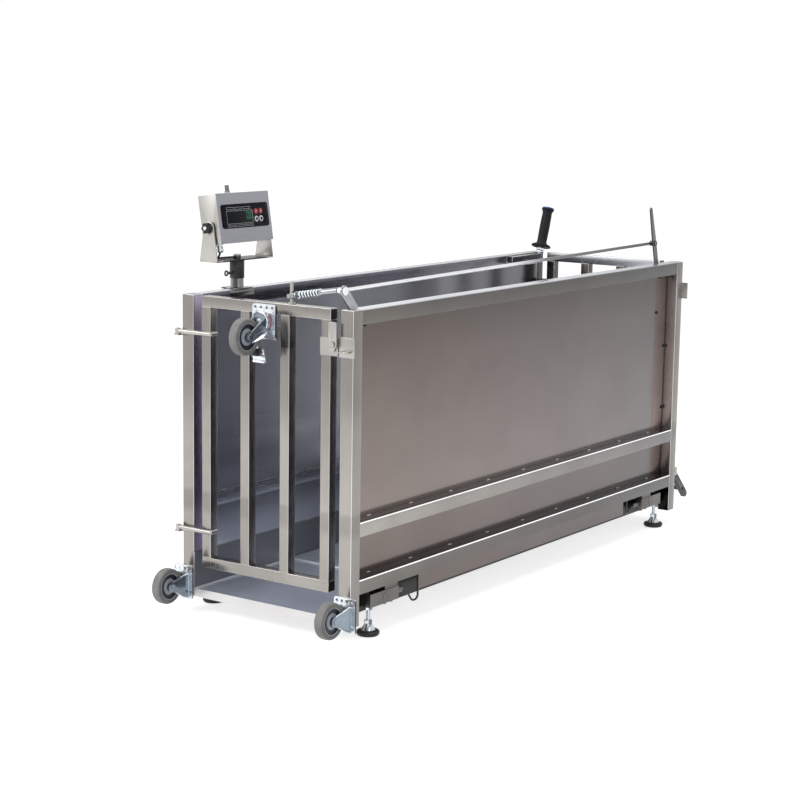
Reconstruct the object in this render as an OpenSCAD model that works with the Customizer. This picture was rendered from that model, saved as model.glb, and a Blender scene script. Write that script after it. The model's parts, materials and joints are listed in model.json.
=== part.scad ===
// Livestock weighing crate with two gates, load cells, wheels, gate linkage and indicator.
// Units are millimetres, +Z is up, the crate runs along Y and its front gate faces -Y.

/* [Crate frame] */
// outer width over the posts
crate_w = 590; // [560:2:620]
// length over the posts
crate_l = 1870; // [1780:10:1960]
// top of the rails above the ground
crate_top = 898; // [880:2:916]
// bottom end of the posts above the ground
post_foot = 43; // [38:1:52]
// square tube of posts and rails
tube = 40; // [38:1:42]
// wall of that tube
tube_wall = 2; // [1.5:0.5:3]
// top of the middle rails
mid_top = 327; // [308:1:348]
// top of the bottom rails
low_top = 169; // [165:1:172]
// thickness of the side sheets
sheet_t = 1.5; // [1:0.5:2.5]
// depth of the side sheets behind the rail faces
sheet_recess = 38; // [34:0.5:38]
// height of the skirt under the bottom rails
skirt_drop = 42; // [30:1:46]
// thickness of the skirt
skirt_t = 2; // [1.5:0.5:3]
// start of the skirt behind the front face
skirt_front = 319; // [300:1:360]
// end of the skirt before the rear face
skirt_rear = 365; // [340:1:390]

/* [Floor] */
// top of the floor tray
floor_z = 65; // [62:1:68]
// sheet of the floor tray
floor_t = 3; // [2:0.5:3]
// turned-down lip at both ends of the tray
lip_h = 21; // [15:1:24]
// start of the raised tread plate behind the front face
tread_start = 432; // [380:2:480]
// thickness of the tread plate
tread_t = 5; // [3:0.5:8]
// space between tread plate and tray sides
tread_gap = 4; // [2:1:8]
// first and last stiffener from the ends of the crate
stiff_in = 260; // [240:5:280]
// width of the stiffeners under the tray
stiff_w = 40; // [30:1:50]
// height of the stiffeners
stiff_h = 20; // [15:1:22]
// length of the stiffeners across the crate
stiff_l = 360; // [300:5:380]
// junction box along the crate
junction_l = 110; // [90:1:130]
// junction box across the crate
junction_w = 140; // [110:1:160]
// height of the junction box
junction_h = 28; // [22:1:32]

/* [Gates] */
// space between gate and posts
gate_gap = 33; // [31:0.5:36]
// square tube of the gates
gate_tube = 30; // [28:1:31]
// wall of that tube
gate_wall = 1.5; // [1:0.5:2.5]
// bottom of the gates above the ground
gate_low = 132; // [132:1:136]
// gates stand this far outside the post faces
gate_proud = 2; // [1.5:0.5:3]
// radius of the round hinge straps
strap_r = 6.5; // [5.5:0.5:7]
// height of the upper straps
strap_up = 795; // [768:1:808]
// height of the lower straps
strap_low = 237; // [218:1:258]
// gap between parts that rest on each other without touching
seat = 0.2; // [0.1:0.05:0.3]
// hinge axis outside the post face
hinge_out = 9; // [9:0.5:11]
// radius of the hinge pins
pin_r = 4; // [3.5:0.5:4.5]
// clearance of all turning fits
play = 0.05; // [0.03:0.01:0.08]
// outer radius of the strap eyes
eye_r = 8.5; // [7.5:0.5:8.5]
// height of the strap eyes
eye_h = 14; // [12:1:18]
// thickness of the hinge lugs
lug_t = 5; // [4:1:7]
// hinge pins stand this far above the eyes
pin_up = 2; // [1:0.5:5]
// seam between welded tubes and sheets
seam = 0.05; // [0.03:0.01:0.08]

/* [Latches] */
// height of the latch pivots
latch_z = 805; // [778:1:818]
// width of the latch bars
tongue_w = 28; // [24:1:29]
// length of the latch bars beyond the pivot
tongue_reach = 60; // [54:1:62]
// thickness of latch bars
tongue_t = 5; // [4:0.5:6]
// thickness of latch plates and catch plates
latch_t = 5; // [4:0.5:6]
// latch plates below and above the pivot
latch_low = 30; // [26:1:34]
// latch plates above the pivot
latch_high = 17; // [15:1:22]
// radius of the latch studs
stud_r = 5; // [4:0.5:6]
// side clearance of latch bars, levers and links
side_play = 0.5; // [0.3:0.1:0.8]
// depth of the catch in front of the posts
catch_out = 25; // [24:1:30]
// reach of the rear catch plate past the post
keeper_out = 19; // [14:0.5:19]

/* [Wheels] */
// radius of all wheels
wheel_r = 50.5; // [48:0.5:50.5]
// width of all wheels
wheel_w = 30; // [26:1:32]
// inner radius of the tyres
rim_r = 37; // [34:0.5:40]
// radius of the axles
axle_r = 5; // [4:0.5:6]
// space between wheel and fork leg
fork_gap = 3; // [2.5:0.5:4]
// thickness of the fork legs
fork_t = 3; // [2.5:0.5:4]
// width of the fixed caster plates
fixed_plate_w = 72; // [66:1:76]
// height of the fixed caster plates
fixed_plate_h = 98; // [92:1:102]
// bottom of the fixed caster plates
fixed_plate_z = 30; // [28:0.5:34]
// thickness of the caster plates
plate_t = 4; // [3:0.5:5]
// plate face to axle of the fixed casters
fixed_reach = 68; // [64:1:74]
// axle height of the fixed casters
fixed_axle_z = 79.5; // [76:0.5:79.5]
// middle of the right fixed caster
caster_right_x = 279; // [274:1:284]
// middle of the left fixed caster
caster_left_x = -293; // [-298:1:-286]
// width of the swivel caster plate
sw_plate_w = 80; // [74:1:86]
// height of the swivel caster plate
sw_plate_h = 94; // [90:1:98]
// height of the swivel axis
sw_z = 846; // [843:1:847]
// radius of the swivel king pin
king_r = 6; // [5:0.5:7]
// radius of the swivel race
race_r = 25; // [23:1:26]
// plate face to axle of the swivel caster
sw_reach = 82; // [78:1:88]
// axle of the swivel caster below its swivel axis
sw_trail = 33; // [28:1:36]
// width of the brake pedal
pedal_w = 42; // [36:1:44]
// length of the brake pedal
pedal_l = 36; // [30:1:38]
// length of the brake arm below its pivot
brake_l = 62; // [56:1:64]

/* [Load cells and feet] */
// feet from both ends of the crate
foot_inset = 109; // [104:1:116]
// length of the load cells
cell_l = 134; // [126:1:142]
// section width of the load cells
cell_w = 34; // [30:1:34]
// section height of the load cells
cell_h = 37; // [34:1:40]
// underside of the load cells above the ground
cell_z = 79; // [76:1:81]
// foot bore from the end of the load cell
cell_end = 14; // [13:1:18]
// radius of the foot studs
foot_stud_r = 6; // [5:0.5:7]
// radius of the rubber pads
pad_r = 32; // [28:1:34]
// height of the rubber pads
pad_h = 14; // [12:1:16]
// radius of the load cell glands
gland_r = 10; // [8:0.5:12]
// length of the load cell glands
gland_l = 34; // [28:1:40]
// radius of the load cell cables
cable_r = 3; // [2.5:0.1:3.5]
// sag of the front load cell cables below their glands
cable_sag = 43; // [40:1:46]
// sag of the rear load cell cables
rear_sag = 16; // [14:1:20]
// bend radius of the load cell cables
cable_bend = 14; // [13:0.5:15]
// load cell cables along the crate from gland to rail
cable_span = 65; // [62:1:68]
// load cell cables outside the middle of the rails
cable_out = 12; // [10:0.5:12]

/* [Gate linkage] */
// front link pivot behind the front face
link_y = 74; // [70:1:80]
// lever pivot before the rear face
lever_back = 107; // [98:1:120]
// pivots to the rod joints
arm_l = 90; // [84:1:96]
// forward lean of the link in degrees
link_lean = 41.3; // [36:0.1:44]
// forward lean of the lever in degrees
lever_lean = 15.5; // [12:0.1:18]
// length of the lever
lever_l = 208; // [195:1:230]
// width of the lever
lever_w = 22; // [20:1:26]
// half width of the lever at its top
lever_tip = 7; // [6:0.5:9]
// width of the link
link_w = 30; // [26:1:32]
// thickness of lever and link
bar_t = 5; // [4:0.5:5]
// radius of the rail pivots
pivot_r = 6; // [5:0.5:7]
// radius of the rod joint bolts
bolt_r = 5; // [4:0.5:5]
// extra radius of the link's hole round the rod bolt
link_slack = 3.2; // [3:0.1:3.4]
// radius of the rod
rod_r = 5; // [4:0.5:5.5]
// space between rod and lever
rod_gap = 2; // [1.5:0.5:3]
// gate pin right of the middle
gate_pin_x = 80; // [74:1:86]
// radius of the gate pin
gate_pin_r = 5; // [4.5:0.5:5]
// height of the gate pin
gate_pin_h = 60; // [54:1:68]
// ball centre above the gate
ball_up = 22; // [20:1:26]
// radius of the strut ball
ball_r = 9; // [8.5:0.5:9]
// outer radius of the strut ring
ring_r = 14; // [13:0.5:15]
// strut end before the rod eye
strut_gap = 4; // [3.5:0.5:8]
// radius of the strut tube
strut_r = 8.5; // [8:0.5:9]
// length of the strut tube
strut_tube_l = 50; // [44:1:54]
// mean radius of the coil spring
coil_r = 8.2; // [8.1:0.1:9]
// radius of the spring wire
wire_r = 2.4; // [2:0.1:2.5]
// turns of the coil spring
coil_turns = 7; // [6:1:8]

/* [Indicator] */
// mast behind the front face
mast_y = 211; // [180:1:240]
// side of the mast base plate
mast_plate = 64; // [58:1:68]
// radius of the mast tube
mast_r = 19; // [18:0.5:20]
// radius of the spigot inside the sleeve
spigot_r = 15.5; // [14:0.5:16]
// height of the mast tube
mast_h = 30; // [26:1:36]
// radius of the turning sleeve
sleeve_r = 21; // [20:0.5:22]
// height of the turning sleeve
sleeve_h = 52; // [48:1:58]
// radius of the eye screw
eye_screw_r = 4; // [3:0.5:5]
// depth of the bracket base
bracket_d = 64; // [56:1:66]
// sheet of the bracket
bracket_t = 4; // [3:0.5:5]
// tilt axis above the bracket base
tilt_up = 92; // [90:1:100]
// width of the case
case_w = 230; // [220:1:240]
// depth of the case
case_d = 65; // [60:1:70]
// case below the tilt axis
case_below = 48; // [44:1:48]
// case above the tilt axis
case_above = 92; // [84:1:98]
// wall of the case
case_wall = 2.5; // [2:0.5:3]
// backward lean of the case in degrees
case_tilt = 9; // [5:0.5:13]
// case to bracket leg on each side
leg_gap = 5; // [4:0.5:6]
// radius of the tilt pins
tilt_pin_r = 6; // [5:0.5:7]
// radius of the knob studs
knob_stud_r = 3; // [2.5:0.5:3.5]
// case beyond the front panel on each side
panel_side = 15; // [13:0.5:18]
// height of the front panel
panel_h = 68; // [62:1:72]
// thickness of the front panel
panel_t = 4; // [3.5:0.5:5]
// middle of the panel right of the case middle
panel_off = 1; // [0:0.5:3]
// front panel below the tilt axis
panel_drop = 8; // [4:1:12]
// radius of the buttons
button_r = 8.5; // [7:0.5:9]
// distance between the buttons
button_pitch = 20.5; // [20:0.5:22]
// radius of the cable inlet on the bracket base
inlet_r = 11; // [9:0.5:13]
// radius of the indicator lead
lead_r = 3; // [2.5:0.1:3.2]

/* [Handles] */
// outer side of the guide tube
guide = 25; // [24:0.5:27]
// wall of the guide tube
guide_wall = 2.5; // [2:0.5:2.5]
// length of the guide tube
guide_l = 190; // [180:1:220]
// clearance of the stem in the guide tube
stem_play = 0.4; // [0.3:0.05:0.5]
// radius of the grip core
core_r = 9; // [8:0.5:9.5]
// radius of the rubber grip
grip_r = 18; // [16:0.5:19]
// radius of the flared top of the grip
rim_top_r = 22; // [20:0.5:24]
// thickness of the hand guard
flange_t = 14; // [10:1:16]
// radius of the hand guard
flange_r = 34; // [30:0.5:36]
// length of the grip
grip_l = 142; // [130:1:150]
// backward lean of the grip in degrees
grip_lean = 18; // [14:0.5:22]
// bail pivot behind the rear faces
bail_out = 16; // [16:0.5:18]
// bail pivot above the ground
bail_z = 172; // [166:1:177]
// length of the bail arms
bail_l = 135; // [128:1:140]
// drop of the bail arms in degrees
bail_drop = 44.7; // [40:0.1:48]
// radius of the bail's cross tube
bail_r = 8; // [7:0.5:9]
// cross tube from the pivots along the arms
bail_tube = 104; // [103:1:112]
// width of the bail arms
bail_w = 28; // [24:1:28]
// thickness of the bail arms
bail_t = 14; // [12:1:15]
// radius of the bail pins
bail_pin_r = 5; // [4:0.5:6]

/* [Hidden] */

hw = crate_w / 2;
inner = hw - tube;
rail_x = hw - tube / 2;
rail_z = crate_top - tube / 2;
low_under = low_top - tube;
gw = inner - gate_gap;
gate_y = -gate_proud;
gate_mid_y = gate_y + gate_tube / 2;
hinge_x = -(hw + hinge_out);
hinge_y = gate_y - strap_r - seat;
tongue_x = gw + tongue_w / 2 - 0.5;
tongue_y = gate_y - latch_t - side_play * 2;
leg_in = wheel_w / 2 + fork_gap;
leg_out = leg_in + fork_t;
fixed_axle_y = -plate_t - fixed_reach;
sw_face = gate_y - plate_t;
sw_axle_y = sw_face - sw_reach;
sw_axle_z = sw_z - sw_trail;
race_y = sw_face - 5.5;
crown_y = race_y - side_play;
crown_end = crown_y - 12;
brake_y = crown_end - 7;
brake_z = sw_z - 12;
cell_top = cell_z + cell_h;
cell_y = foot_inset - cell_end;
gland_z = cell_z + cell_h / 2;
bar_x = inner - side_play - bar_t;
rod_x0 = bar_x - rod_gap - rod_r;
link_joint = [rod_x0, link_y - arm_l * sin(link_lean), rail_z + arm_l * cos(link_lean)];
lever_y = crate_l - lever_back;
lever_joint = [rod_x0, lever_y - arm_l * sin(lever_lean), rail_z + arm_l * cos(lever_lean)];
rod_dy = lever_joint[1] - link_joint[1];
rod_dz = lever_joint[2] - link_joint[2];
rod_len = sqrt(rod_dy * rod_dy + rod_dz * rod_dz);
rod_tilt = atan2(rod_dz, rod_dy);
rod_eye = rod_r + 0.5;
ball_at = [gate_pin_x, gate_mid_y, crate_top + ball_up];
strut_to = [rod_x0 - rod_eye - strut_gap, link_joint[1], link_joint[2]];
strut_v = strut_to - ball_at;
strut_len = norm(strut_v);
strut_yaw = atan2(strut_v[1], strut_v[0]);
strut_pitch = atan2(strut_v[2], norm([strut_v[0], strut_v[1]]));
collar_x = ring_r + 2;
cap_x = strut_len - strut_tube_l - 8;
panel_w = case_w - 2 * panel_side;
mast_x = -rail_x;
sleeve_z = crate_top + mast_h;
base_z = sleeve_z + sleeve_h;
tilt_z = base_z + bracket_t + tilt_up;
leg_y = case_w / 2 + leg_gap;
guide_x = -inner + guide / 2;
guide_z = crate_top - 2 - guide / 2;
guide_end = crate_l - 56;
stem = guide - 2 * guide_wall - 2 * stem_play;
grip_y = crate_l - 49;
bail_y = crate_l + bail_out;
y_front = sw_axle_y - wheel_r;
y_back = bail_y + bail_l * cos(bail_drop) + bail_w / 2 - 2;
mid_x = (caster_left_x + caster_right_x) / 2;
mid_y = (y_front + y_back) / 2;

steel = [0.72, 0.70, 0.67];
zinc = [0.70, 0.73, 0.76];
rubber = [0.30, 0.30, 0.30];
black = [0.08, 0.08, 0.08];

// moves the crate so that the middle of its box is at the origin
module at_origin() {
  translate([-mid_x, -mid_y, 0]) children();
}

module box(x0, x1, y0, y1, z0, z1) {
  translate([x0, y0, z0]) cube([x1 - x0, y1 - y0, z1 - z0]);
}

module round_x(r, x0, x1, y, z, n = 48) {
  translate([x0, y, z]) rotate([0, 90, 0]) cylinder(r = r, h = x1 - x0, $fn = n);
}

module round_y(r, x, y0, y1, z, n = 48) {
  translate([x, y0, z]) rotate([-90, 0, 0]) cylinder(r = r, h = y1 - y0, $fn = n);
}

module round_z(r, x, y, z0, z1, n = 48) {
  translate([x, y, z0]) cylinder(r = r, h = z1 - z0, $fn = n);
}

module both_sides() {
  children();
  mirror([1, 0, 0]) children();
}

module rear_side() {
  translate([0, crate_l, 0]) mirror([0, 1, 0]) children();
}

module both_ends() {
  children();
  rear_side() children();
}

// flat profile drawn in Y and Z, thickened along X
module plate_yz(x0, x1) {
  translate([x0, 0, 0]) rotate([90, 0, 90]) linear_extrude(height = x1 - x0) children();
}

// flat profile drawn in X and Z, thickened along Y
module plate_xz(y0, y1) {
  translate([0, y1, 0]) rotate([90, 0, 0]) linear_extrude(height = y1 - y0) children();
}

// hollow tube with open ends between two corners, axis is the index of its length
module square_tube(x0, x1, y0, y1, z0, z1, wall, axis) {
  w = [for (i = [0:2]) i == axis ? -1 : wall];
  difference() {
    box(x0, x1, y0, y1, z0, z1);
    box(x0 + w[0], x1 - w[0], y0 + w[1], y1 - w[1], z0 + w[2], z1 - w[2]);
  }
}

// upright tube with a closed top
module capped_tube(x0, x1, y0, y1, z0, z1, wall) {
  difference() {
    box(x0, x1, y0, y1, z0, z1);
    box(x0 + wall, x1 - wall, y0 + wall, y1 - wall, z0 - 1, z1 - wall);
  }
}

// rectangle with rounded corners between two corners
module round_rect(x0, x1, y0, y1, r) {
  translate([x0 + r, y0]) square([x1 - x0 - 2 * r, y1 - y0]);
  translate([x0, y0 + r]) square([x1 - x0, y1 - y0 - 2 * r]);
  for (x = [x0 + r, x1 - r], y = [y0 + r, y1 - r]) translate([x, y]) circle(r = r, $fn = 32);
}

function unit(v) = v / norm(v);

function tangent(path, i) =
  unit(path[min(i + 1, len(path) - 1)] - path[max(i - 1, 0)]);

function ring_points(path, refs, r, sides) = [
  for (i = [0:len(path) - 1])
    let (t = tangent(path, i), a = unit(cross(t, refs[i])), b = cross(t, a))
      for (k = [0:sides - 1])
        path[i] + r * (cos(360 * k / sides) * a + sin(360 * k / sides) * b)
];

function tube_faces(rings, sides) = concat(
  [[for (k = [0:sides - 1]) k]],
  [for (i = [0:rings - 2], k = [0:sides - 1])
    [i * sides + k, (i + 1) * sides + k, (i + 1) * sides + (k + 1) % sides, i * sides + (k + 1) % sides]],
  [[for (k = [sides - 1:-1:0]) (rings - 1) * sides + k]]
);

// unbroken tube along a path, refs gives one side direction per point
module swept(path, refs, r, sides) {
  polyhedron(points = ring_points(path, refs, r, sides), faces = tube_faces(len(path), sides));
}

// Crate
module posts() color(steel) at_origin() {
  both_sides() both_ends()
    capped_tube(inner, hw, 0, tube, post_foot, crate_top, tube_wall);
}

cable_x = rail_x + cable_out;
cable_from = cell_y + cell_l + gland_l;
cable_y = cable_from + cable_span;

module side_rails() color(steel) at_origin() {
  both_sides() difference() {
    for (t = [crate_top, mid_top, low_top])
      square_tube(inner, hw, tube, crate_l - tube, t - tube, t, tube_wall, 1);
    for (y = [cable_y, crate_l - cable_y])
      round_z(cable_r + 1.5, cable_x, y, low_under - 1, low_under + tube_wall + 1);
  }
}

module side_sheets() color(steel) at_origin() {
  x = hw - sheet_recess;
  both_sides() {
    for (z = [[mid_top, crate_top - tube], [low_top, mid_top - tube]])
      box(x - sheet_t, x, tube, crate_l - tube, z[0], z[1]);
    box(hw - skirt_t, hw, skirt_front, crate_l - skirt_rear, low_under - skirt_drop, low_under);
  }
}

module floor_tray() color(steel) at_origin() {
  under = floor_z - floor_t;
  box(-inner, inner, 0, crate_l, under, floor_z);
  both_sides() box(inner - floor_t, inner, 0, crate_l, floor_z + seam, low_top);
  both_ends() box(-inner, inner, 0, floor_t, under - lip_h, under - seam);
}

module floor_plate() color(steel) at_origin() {
  half = inner - floor_t - tread_gap;
  box(-half, half, tread_start, crate_l - 34, floor_z, floor_z + tread_t);
}

module cross_members() color(steel) at_origin() {
  under = floor_z - floor_t;
  for (k = [0:3]) {
    y = stiff_in + k * (crate_l - 2 * stiff_in) / 3;
    box(-stiff_l / 2, stiff_l / 2, y - stiff_w / 2, y + stiff_w / 2, under - stiff_h, under);
  }
}

module hinge_pins() color(steel) at_origin() {
  both_ends() for (z = [strap_up, strap_low]) {
    z0 = z - eye_h / 2;
    box(hinge_x - eye_r, -hw, hinge_y - eye_r, tube / 2, z0 - lug_t, z0);
    round_z(pin_r, hinge_x, hinge_y, z0 - lug_t / 2, z + eye_h / 2 + pin_up);
  }
}

module keepers() color(steel) at_origin() {
  shelf = latch_z - tongue_w / 2 - side_play;
  low = latch_z - latch_low - 2;
  high = latch_z + latch_high + 5;
  box(gw + tongue_w + 0.7, hw + 5, -latch_t, 0, low, high);
  box(gw + tongue_w + 0.7, hw + keeper_out, crate_l, crate_l + latch_t, low, high);
  both_ends() box(inner + 7, hw - 3, -catch_out, -latch_t - seam, shelf - 4, shelf);
}

// Load cells
module load_cells() color(zinc) at_origin() {
  both_sides() both_ends() difference() {
    box(rail_x - cell_w / 2, rail_x + cell_w / 2, cell_y, cell_y + cell_l, cell_z, cell_top);
    round_z(foot_stud_r + play, rail_x, foot_inset, cell_z - 1, cell_top + 1);
  }
}

spacer_y = foot_inset + 56;
spacer_l = cell_l - cell_end - 60;

module cell_spacers() color(zinc) at_origin() {
  both_sides() both_ends()
    box(rail_x - cell_w / 2 + 2, rail_x + cell_w / 2 - 2, spacer_y, spacer_y + spacer_l,
      cell_top, low_under);
}

module cell_bolts() color(zinc) at_origin() {
  both_sides() both_ends() for (y = [spacer_y + 15, spacer_y + spacer_l - 15])
    round_z(9, rail_x, y, cell_z - 7, cell_z, 6);
}

module cell_glands() color(zinc) at_origin() {
  y = cell_y + cell_l;
  both_sides() both_ends() {
    round_y(gland_r + 2, rail_x, y, y + 10, gland_z, 6);
    round_y(gland_r, rail_x, y + 10, y + gland_l, gland_z);
  }
}

// each cable leaves its gland, dives, turns at the bottom and goes up into the bottom rail
function dive(sag) =
  let (dx = cable_span - cable_bend - 6, dy = sag - 2 * cable_bend)
    atan2(dy, dx) + asin(2 * cable_bend / norm([dx, dy]));

function loop_points(sag) =
  let (r = cable_bend, a = dive(sag)) concat(
    [[0, 0], [6, 0]],
    [for (k = [1:3]) [6 + r * sin(a * k / 3), r * (1 - cos(a * k / 3))]],
    [for (k = [0:6]) let (b = a - (a + 90) * k / 6) [cable_span - r - r * sin(b), sag - r + r * cos(b)]],
    [[cable_span, gland_z - low_under - 8]]
  );

function cable_path(sag) = [
  for (p = loop_points(sag))
    [rail_x + cable_out * max(0, (p[0] - 6) / (cable_span - 6)), cable_from + p[0], gland_z - p[1]]
];

module cable(sag) {
  path = cable_path(sag);
  swept(path, [for (p = path) [1, 0, 0]], cable_r, 8);
}

module cell_cables() color(black) at_origin() both_sides() {
  cable(cable_sag);
  rear_side() cable(rear_sag);
}

// outline of a fork leg between plate and axle
module leg_profile(y0, y1, z0, z1, axle_y, axle_z, tip) {
  polygon([[y0, z0], [y1, z1], [axle_y, axle_z + tip], [axle_y, axle_z - tip]]);
  translate([axle_y, axle_z]) circle(r = tip, $fn = 48);
}

module axle(y, z) {
  round_x(axle_r, -leg_out, leg_out, y, z);
  for (x = [-leg_out - 4, leg_out]) round_x(9, x, x + 4, y, z, 6);
}

module fixed_fork() {
  z1 = fixed_plate_z + fixed_plate_h;
  difference() {
    plate_xz(-plate_t, 0) round_rect(-fixed_plate_w / 2, fixed_plate_w / 2, fixed_plate_z, z1, 8);
    for (x = [-26, -9, 9, 26]) round_y(4.2, x, -plate_t - 1, 1, z1 - 10);
    for (x = [-28, 28]) round_y(4.5, x, -plate_t - 1, 1, fixed_plate_z + 22);
  }
  for (x = [-leg_out, leg_in]) plate_yz(x, x + fork_t)
    leg_profile(-plate_t, -plate_t, fixed_plate_z + 4, z1 - 22, fixed_axle_y, fixed_axle_z, 14);
  axle(fixed_axle_y, fixed_axle_z);
}

module fixed_forks() color(zinc) at_origin() {
  for (x = [caster_right_x, caster_left_x]) translate([x, 0, 0]) fixed_fork();
}

module tyre_shape() {
  rotate([0, 90, 0]) rotate_extrude($fn = 96)
    round_rect(rim_r + 0.1, wheel_r, -wheel_w / 2, wheel_w / 2, 6);
}

module hub_shape() {
  rotate([0, 90, 0]) rotate_extrude($fn = 96) difference() {
    union() {
      translate([rim_r - 8, -wheel_w / 2 + 3]) square([8, wheel_w - 6]);
      translate([0, -5]) square([rim_r - 4, 10]);
      translate([0, -wheel_w / 2 - fork_gap + 0.8]) square([14, wheel_w + 2 * fork_gap - 1.6]);
    }
    translate([-1, -wheel_w]) square([axle_r + play + 1, 2 * wheel_w]);
  }
}

module tyre_right() color(rubber) at_origin()
  translate([caster_right_x, fixed_axle_y, fixed_axle_z]) tyre_shape();

module hub_right() color(zinc) at_origin()
  translate([caster_right_x, fixed_axle_y, fixed_axle_z]) hub_shape();

module tyre_left() color(rubber) at_origin()
  translate([caster_left_x, fixed_axle_y, fixed_axle_z]) tyre_shape();

module hub_left() color(zinc) at_origin()
  translate([caster_left_x, fixed_axle_y, fixed_axle_z]) hub_shape();

// Gates
module gate_frame() {
  y1 = gate_y + gate_tube;
  g = gate_tube;
  for (z = [gate_low, crate_top - g]) square_tube(-gw, gw, gate_y, y1, z, z + g, gate_wall, 0);
  both_sides() for (x = [gw - g / 2, (gw - g / 2) / 3])
    square_tube(x - g / 2, x + g / 2, gate_y, y1, gate_low + g + seam, crate_top - g - seam, gate_wall, 2);
}

module strap(z) {
  hook_x = gate_tube - gw + strap_r + seat;
  difference() {
    union() {
      round_z(eye_r, hinge_x, hinge_y, z - eye_h / 2 + side_play, z + eye_h / 2);
      round_x(strap_r, hinge_x, hook_x, hinge_y, z);
    }
    round_z(pin_r + play, hinge_x, hinge_y, z - eye_h, z + eye_h);
  }
  translate([hook_x, hinge_y, z]) sphere(r = strap_r, $fn = 48);
  round_y(strap_r, hook_x, hinge_y, hinge_y + 24, z);
}

module gate_fittings() {
  for (z = [strap_up, strap_low]) strap(z);
  box(gw - gate_tube, gw + tongue_w, gate_y - latch_t, gate_y, latch_z - latch_low, latch_z + latch_high);
  stud_end = tongue_y - tongue_t - side_play;
  round_y(stud_r, tongue_x, stud_end, gate_y - latch_t, latch_z);
  round_y(stud_r + 4, tongue_x, stud_end - 4, stud_end, latch_z);
}

module tongue() {
  plate_xz(tongue_y - tongue_t, tongue_y) difference() {
    union() {
      round_rect(tongue_x - tongue_w / 2, tongue_x + tongue_w / 2, latch_z - tongue_w / 4,
        latch_z + tongue_reach, 5);
      translate([tongue_x, latch_z]) polygon([[-tongue_w / 2, 0], [-4, -18], [4, -18], [tongue_w / 2, 0]]);
    }
    translate([tongue_x, latch_z]) circle(r = stud_r + play, $fn = 48);
  }
}

module front_frame() color(steel) at_origin() gate_frame();

module front_fittings() color(steel) at_origin() {
  gate_fittings();
  round_z(gate_pin_r + 6, gate_pin_x, gate_mid_y, crate_top, crate_top + 4);
  round_z(gate_pin_r, gate_pin_x, gate_mid_y, crate_top, crate_top + gate_pin_h);
}

module front_tongue() color(zinc) at_origin() tongue();

module rear_frame() color(steel) at_origin() rear_side() gate_frame();

module rear_fittings() color(steel) at_origin() rear_side() gate_fittings();

module rear_tongue() color(zinc) at_origin() rear_side() tongue();

// Swivel caster on the front gate
module sw_plate() color(zinc) at_origin() {
  z0 = sw_z - sw_plate_h / 2;
  z1 = sw_z + sw_plate_h / 2;
  bar_in = (gw - gate_tube / 2) / 3 - gate_tube / 2;
  difference() {
    plate_xz(sw_face, gate_y) round_rect(-sw_plate_w / 2, sw_plate_w / 2, z0, z1, 8);
    for (x = [-29, -10, 10, 29]) round_y(4.2, x, sw_face - 1, gate_y + 1, z1 - 8.5);
  }
  for (x = [-1, 1], z = [-1, 1])
    round_y(6.5, x * (sw_plate_w / 2 - 10), sw_face - 4, sw_face, sw_z + z * (sw_plate_h / 2 - 20), 6);
  box(-bar_in, bar_in, gate_y, gate_y + 6, z0, z0 + 38);
  round_y(race_r, 0, race_y, sw_face, sw_z);
  round_y(king_r, 0, crown_end - side_play, sw_face, sw_z);
  round_y(king_r + 4, 0, crown_end - side_play - 2.5, crown_end - side_play, sw_z);
}

module sw_fork() color(zinc) at_origin() {
  difference() {
    round_y(race_r + 2, 0, crown_end, crown_y, sw_z);
    round_y(king_r + play, 0, crown_end - 1, crown_y + 1, sw_z);
  }
  for (x = [-leg_out, leg_in]) plate_yz(x, x + fork_t) difference() {
    leg_profile(crown_y, crown_y, sw_z - race_r, sw_z + race_r - 4, sw_axle_y, sw_axle_z, 14);
    translate([brake_y, brake_z]) circle(r = 3 + play, $fn = 32);
  }
  axle(sw_axle_y, sw_axle_z);
}

module sw_tyre() color(rubber) at_origin() translate([0, sw_axle_y, sw_axle_z]) tyre_shape();

module sw_hub() color(zinc) at_origin() translate([0, sw_axle_y, sw_axle_z]) hub_shape();

module sw_brake() color(zinc) at_origin() {
  round_x(3, -leg_out, leg_out, brake_y, brake_z, 32);
  box(-leg_in + 2, leg_in - 2, brake_y - 2, brake_y + 2, brake_z - brake_l, brake_z + 5);
  translate([0, brake_y, brake_z - brake_l]) rotate([16, 0, 0])
    plate_xz(-2, 2) round_rect(-pedal_w / 2, pedal_w / 2, -pedal_l, 3, 2.5);
}

// Gate linkage
module rail_pivots() color(zinc) at_origin() {
  for (y = [link_y, lever_y]) {
    round_x(pivot_r, bar_x - side_play, inner, y, rail_z);
    round_x(pivot_r + 4, bar_x - side_play - 3, bar_x - side_play, y, rail_z);
  }
}

// flat bar along its own Z from a pivot, leaning forward
module swing_bar(y, lean, width, length, top, tip) {
  translate([0, y, rail_z]) rotate([lean, 0, 0]) plate_yz(bar_x, bar_x + bar_t) difference() {
    union() {
      polygon([[-width / 2, 0], [width / 2, 0], [width / 2, length / 2], [top, length], [-top, length],
        [-width / 2, length / 2]]);
      circle(r = width / 2 + 3, $fn = 48);
      translate([0, length]) circle(r = tip, $fn = 48);
    }
    circle(r = pivot_r + play, $fn = 48);
    children();
  }
}

module lever() color(zinc) at_origin() {
  swing_bar(lever_y, lever_lean, lever_w, lever_l, lever_tip, lever_tip)
    translate([0, arm_l]) circle(r = bolt_r + play, $fn = 48);
}

module link() color(zinc) at_origin() {
  swing_bar(link_y, link_lean, link_w, arm_l, link_w / 2, link_w / 2)
    translate([0, arm_l]) circle(r = bolt_r + link_slack, $fn = 48);
}

module rod_end(p, head) {
  round_x(rod_r + 4, p[0] - rod_eye, p[0] + rod_eye, p[1], p[2]);
  round_x(bolt_r, p[0], bar_x + bar_t + 4, p[1], p[2]);
  round_x(head, bar_x + bar_t + side_play, bar_x + bar_t + 4, p[1], p[2], 48);
}

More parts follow.
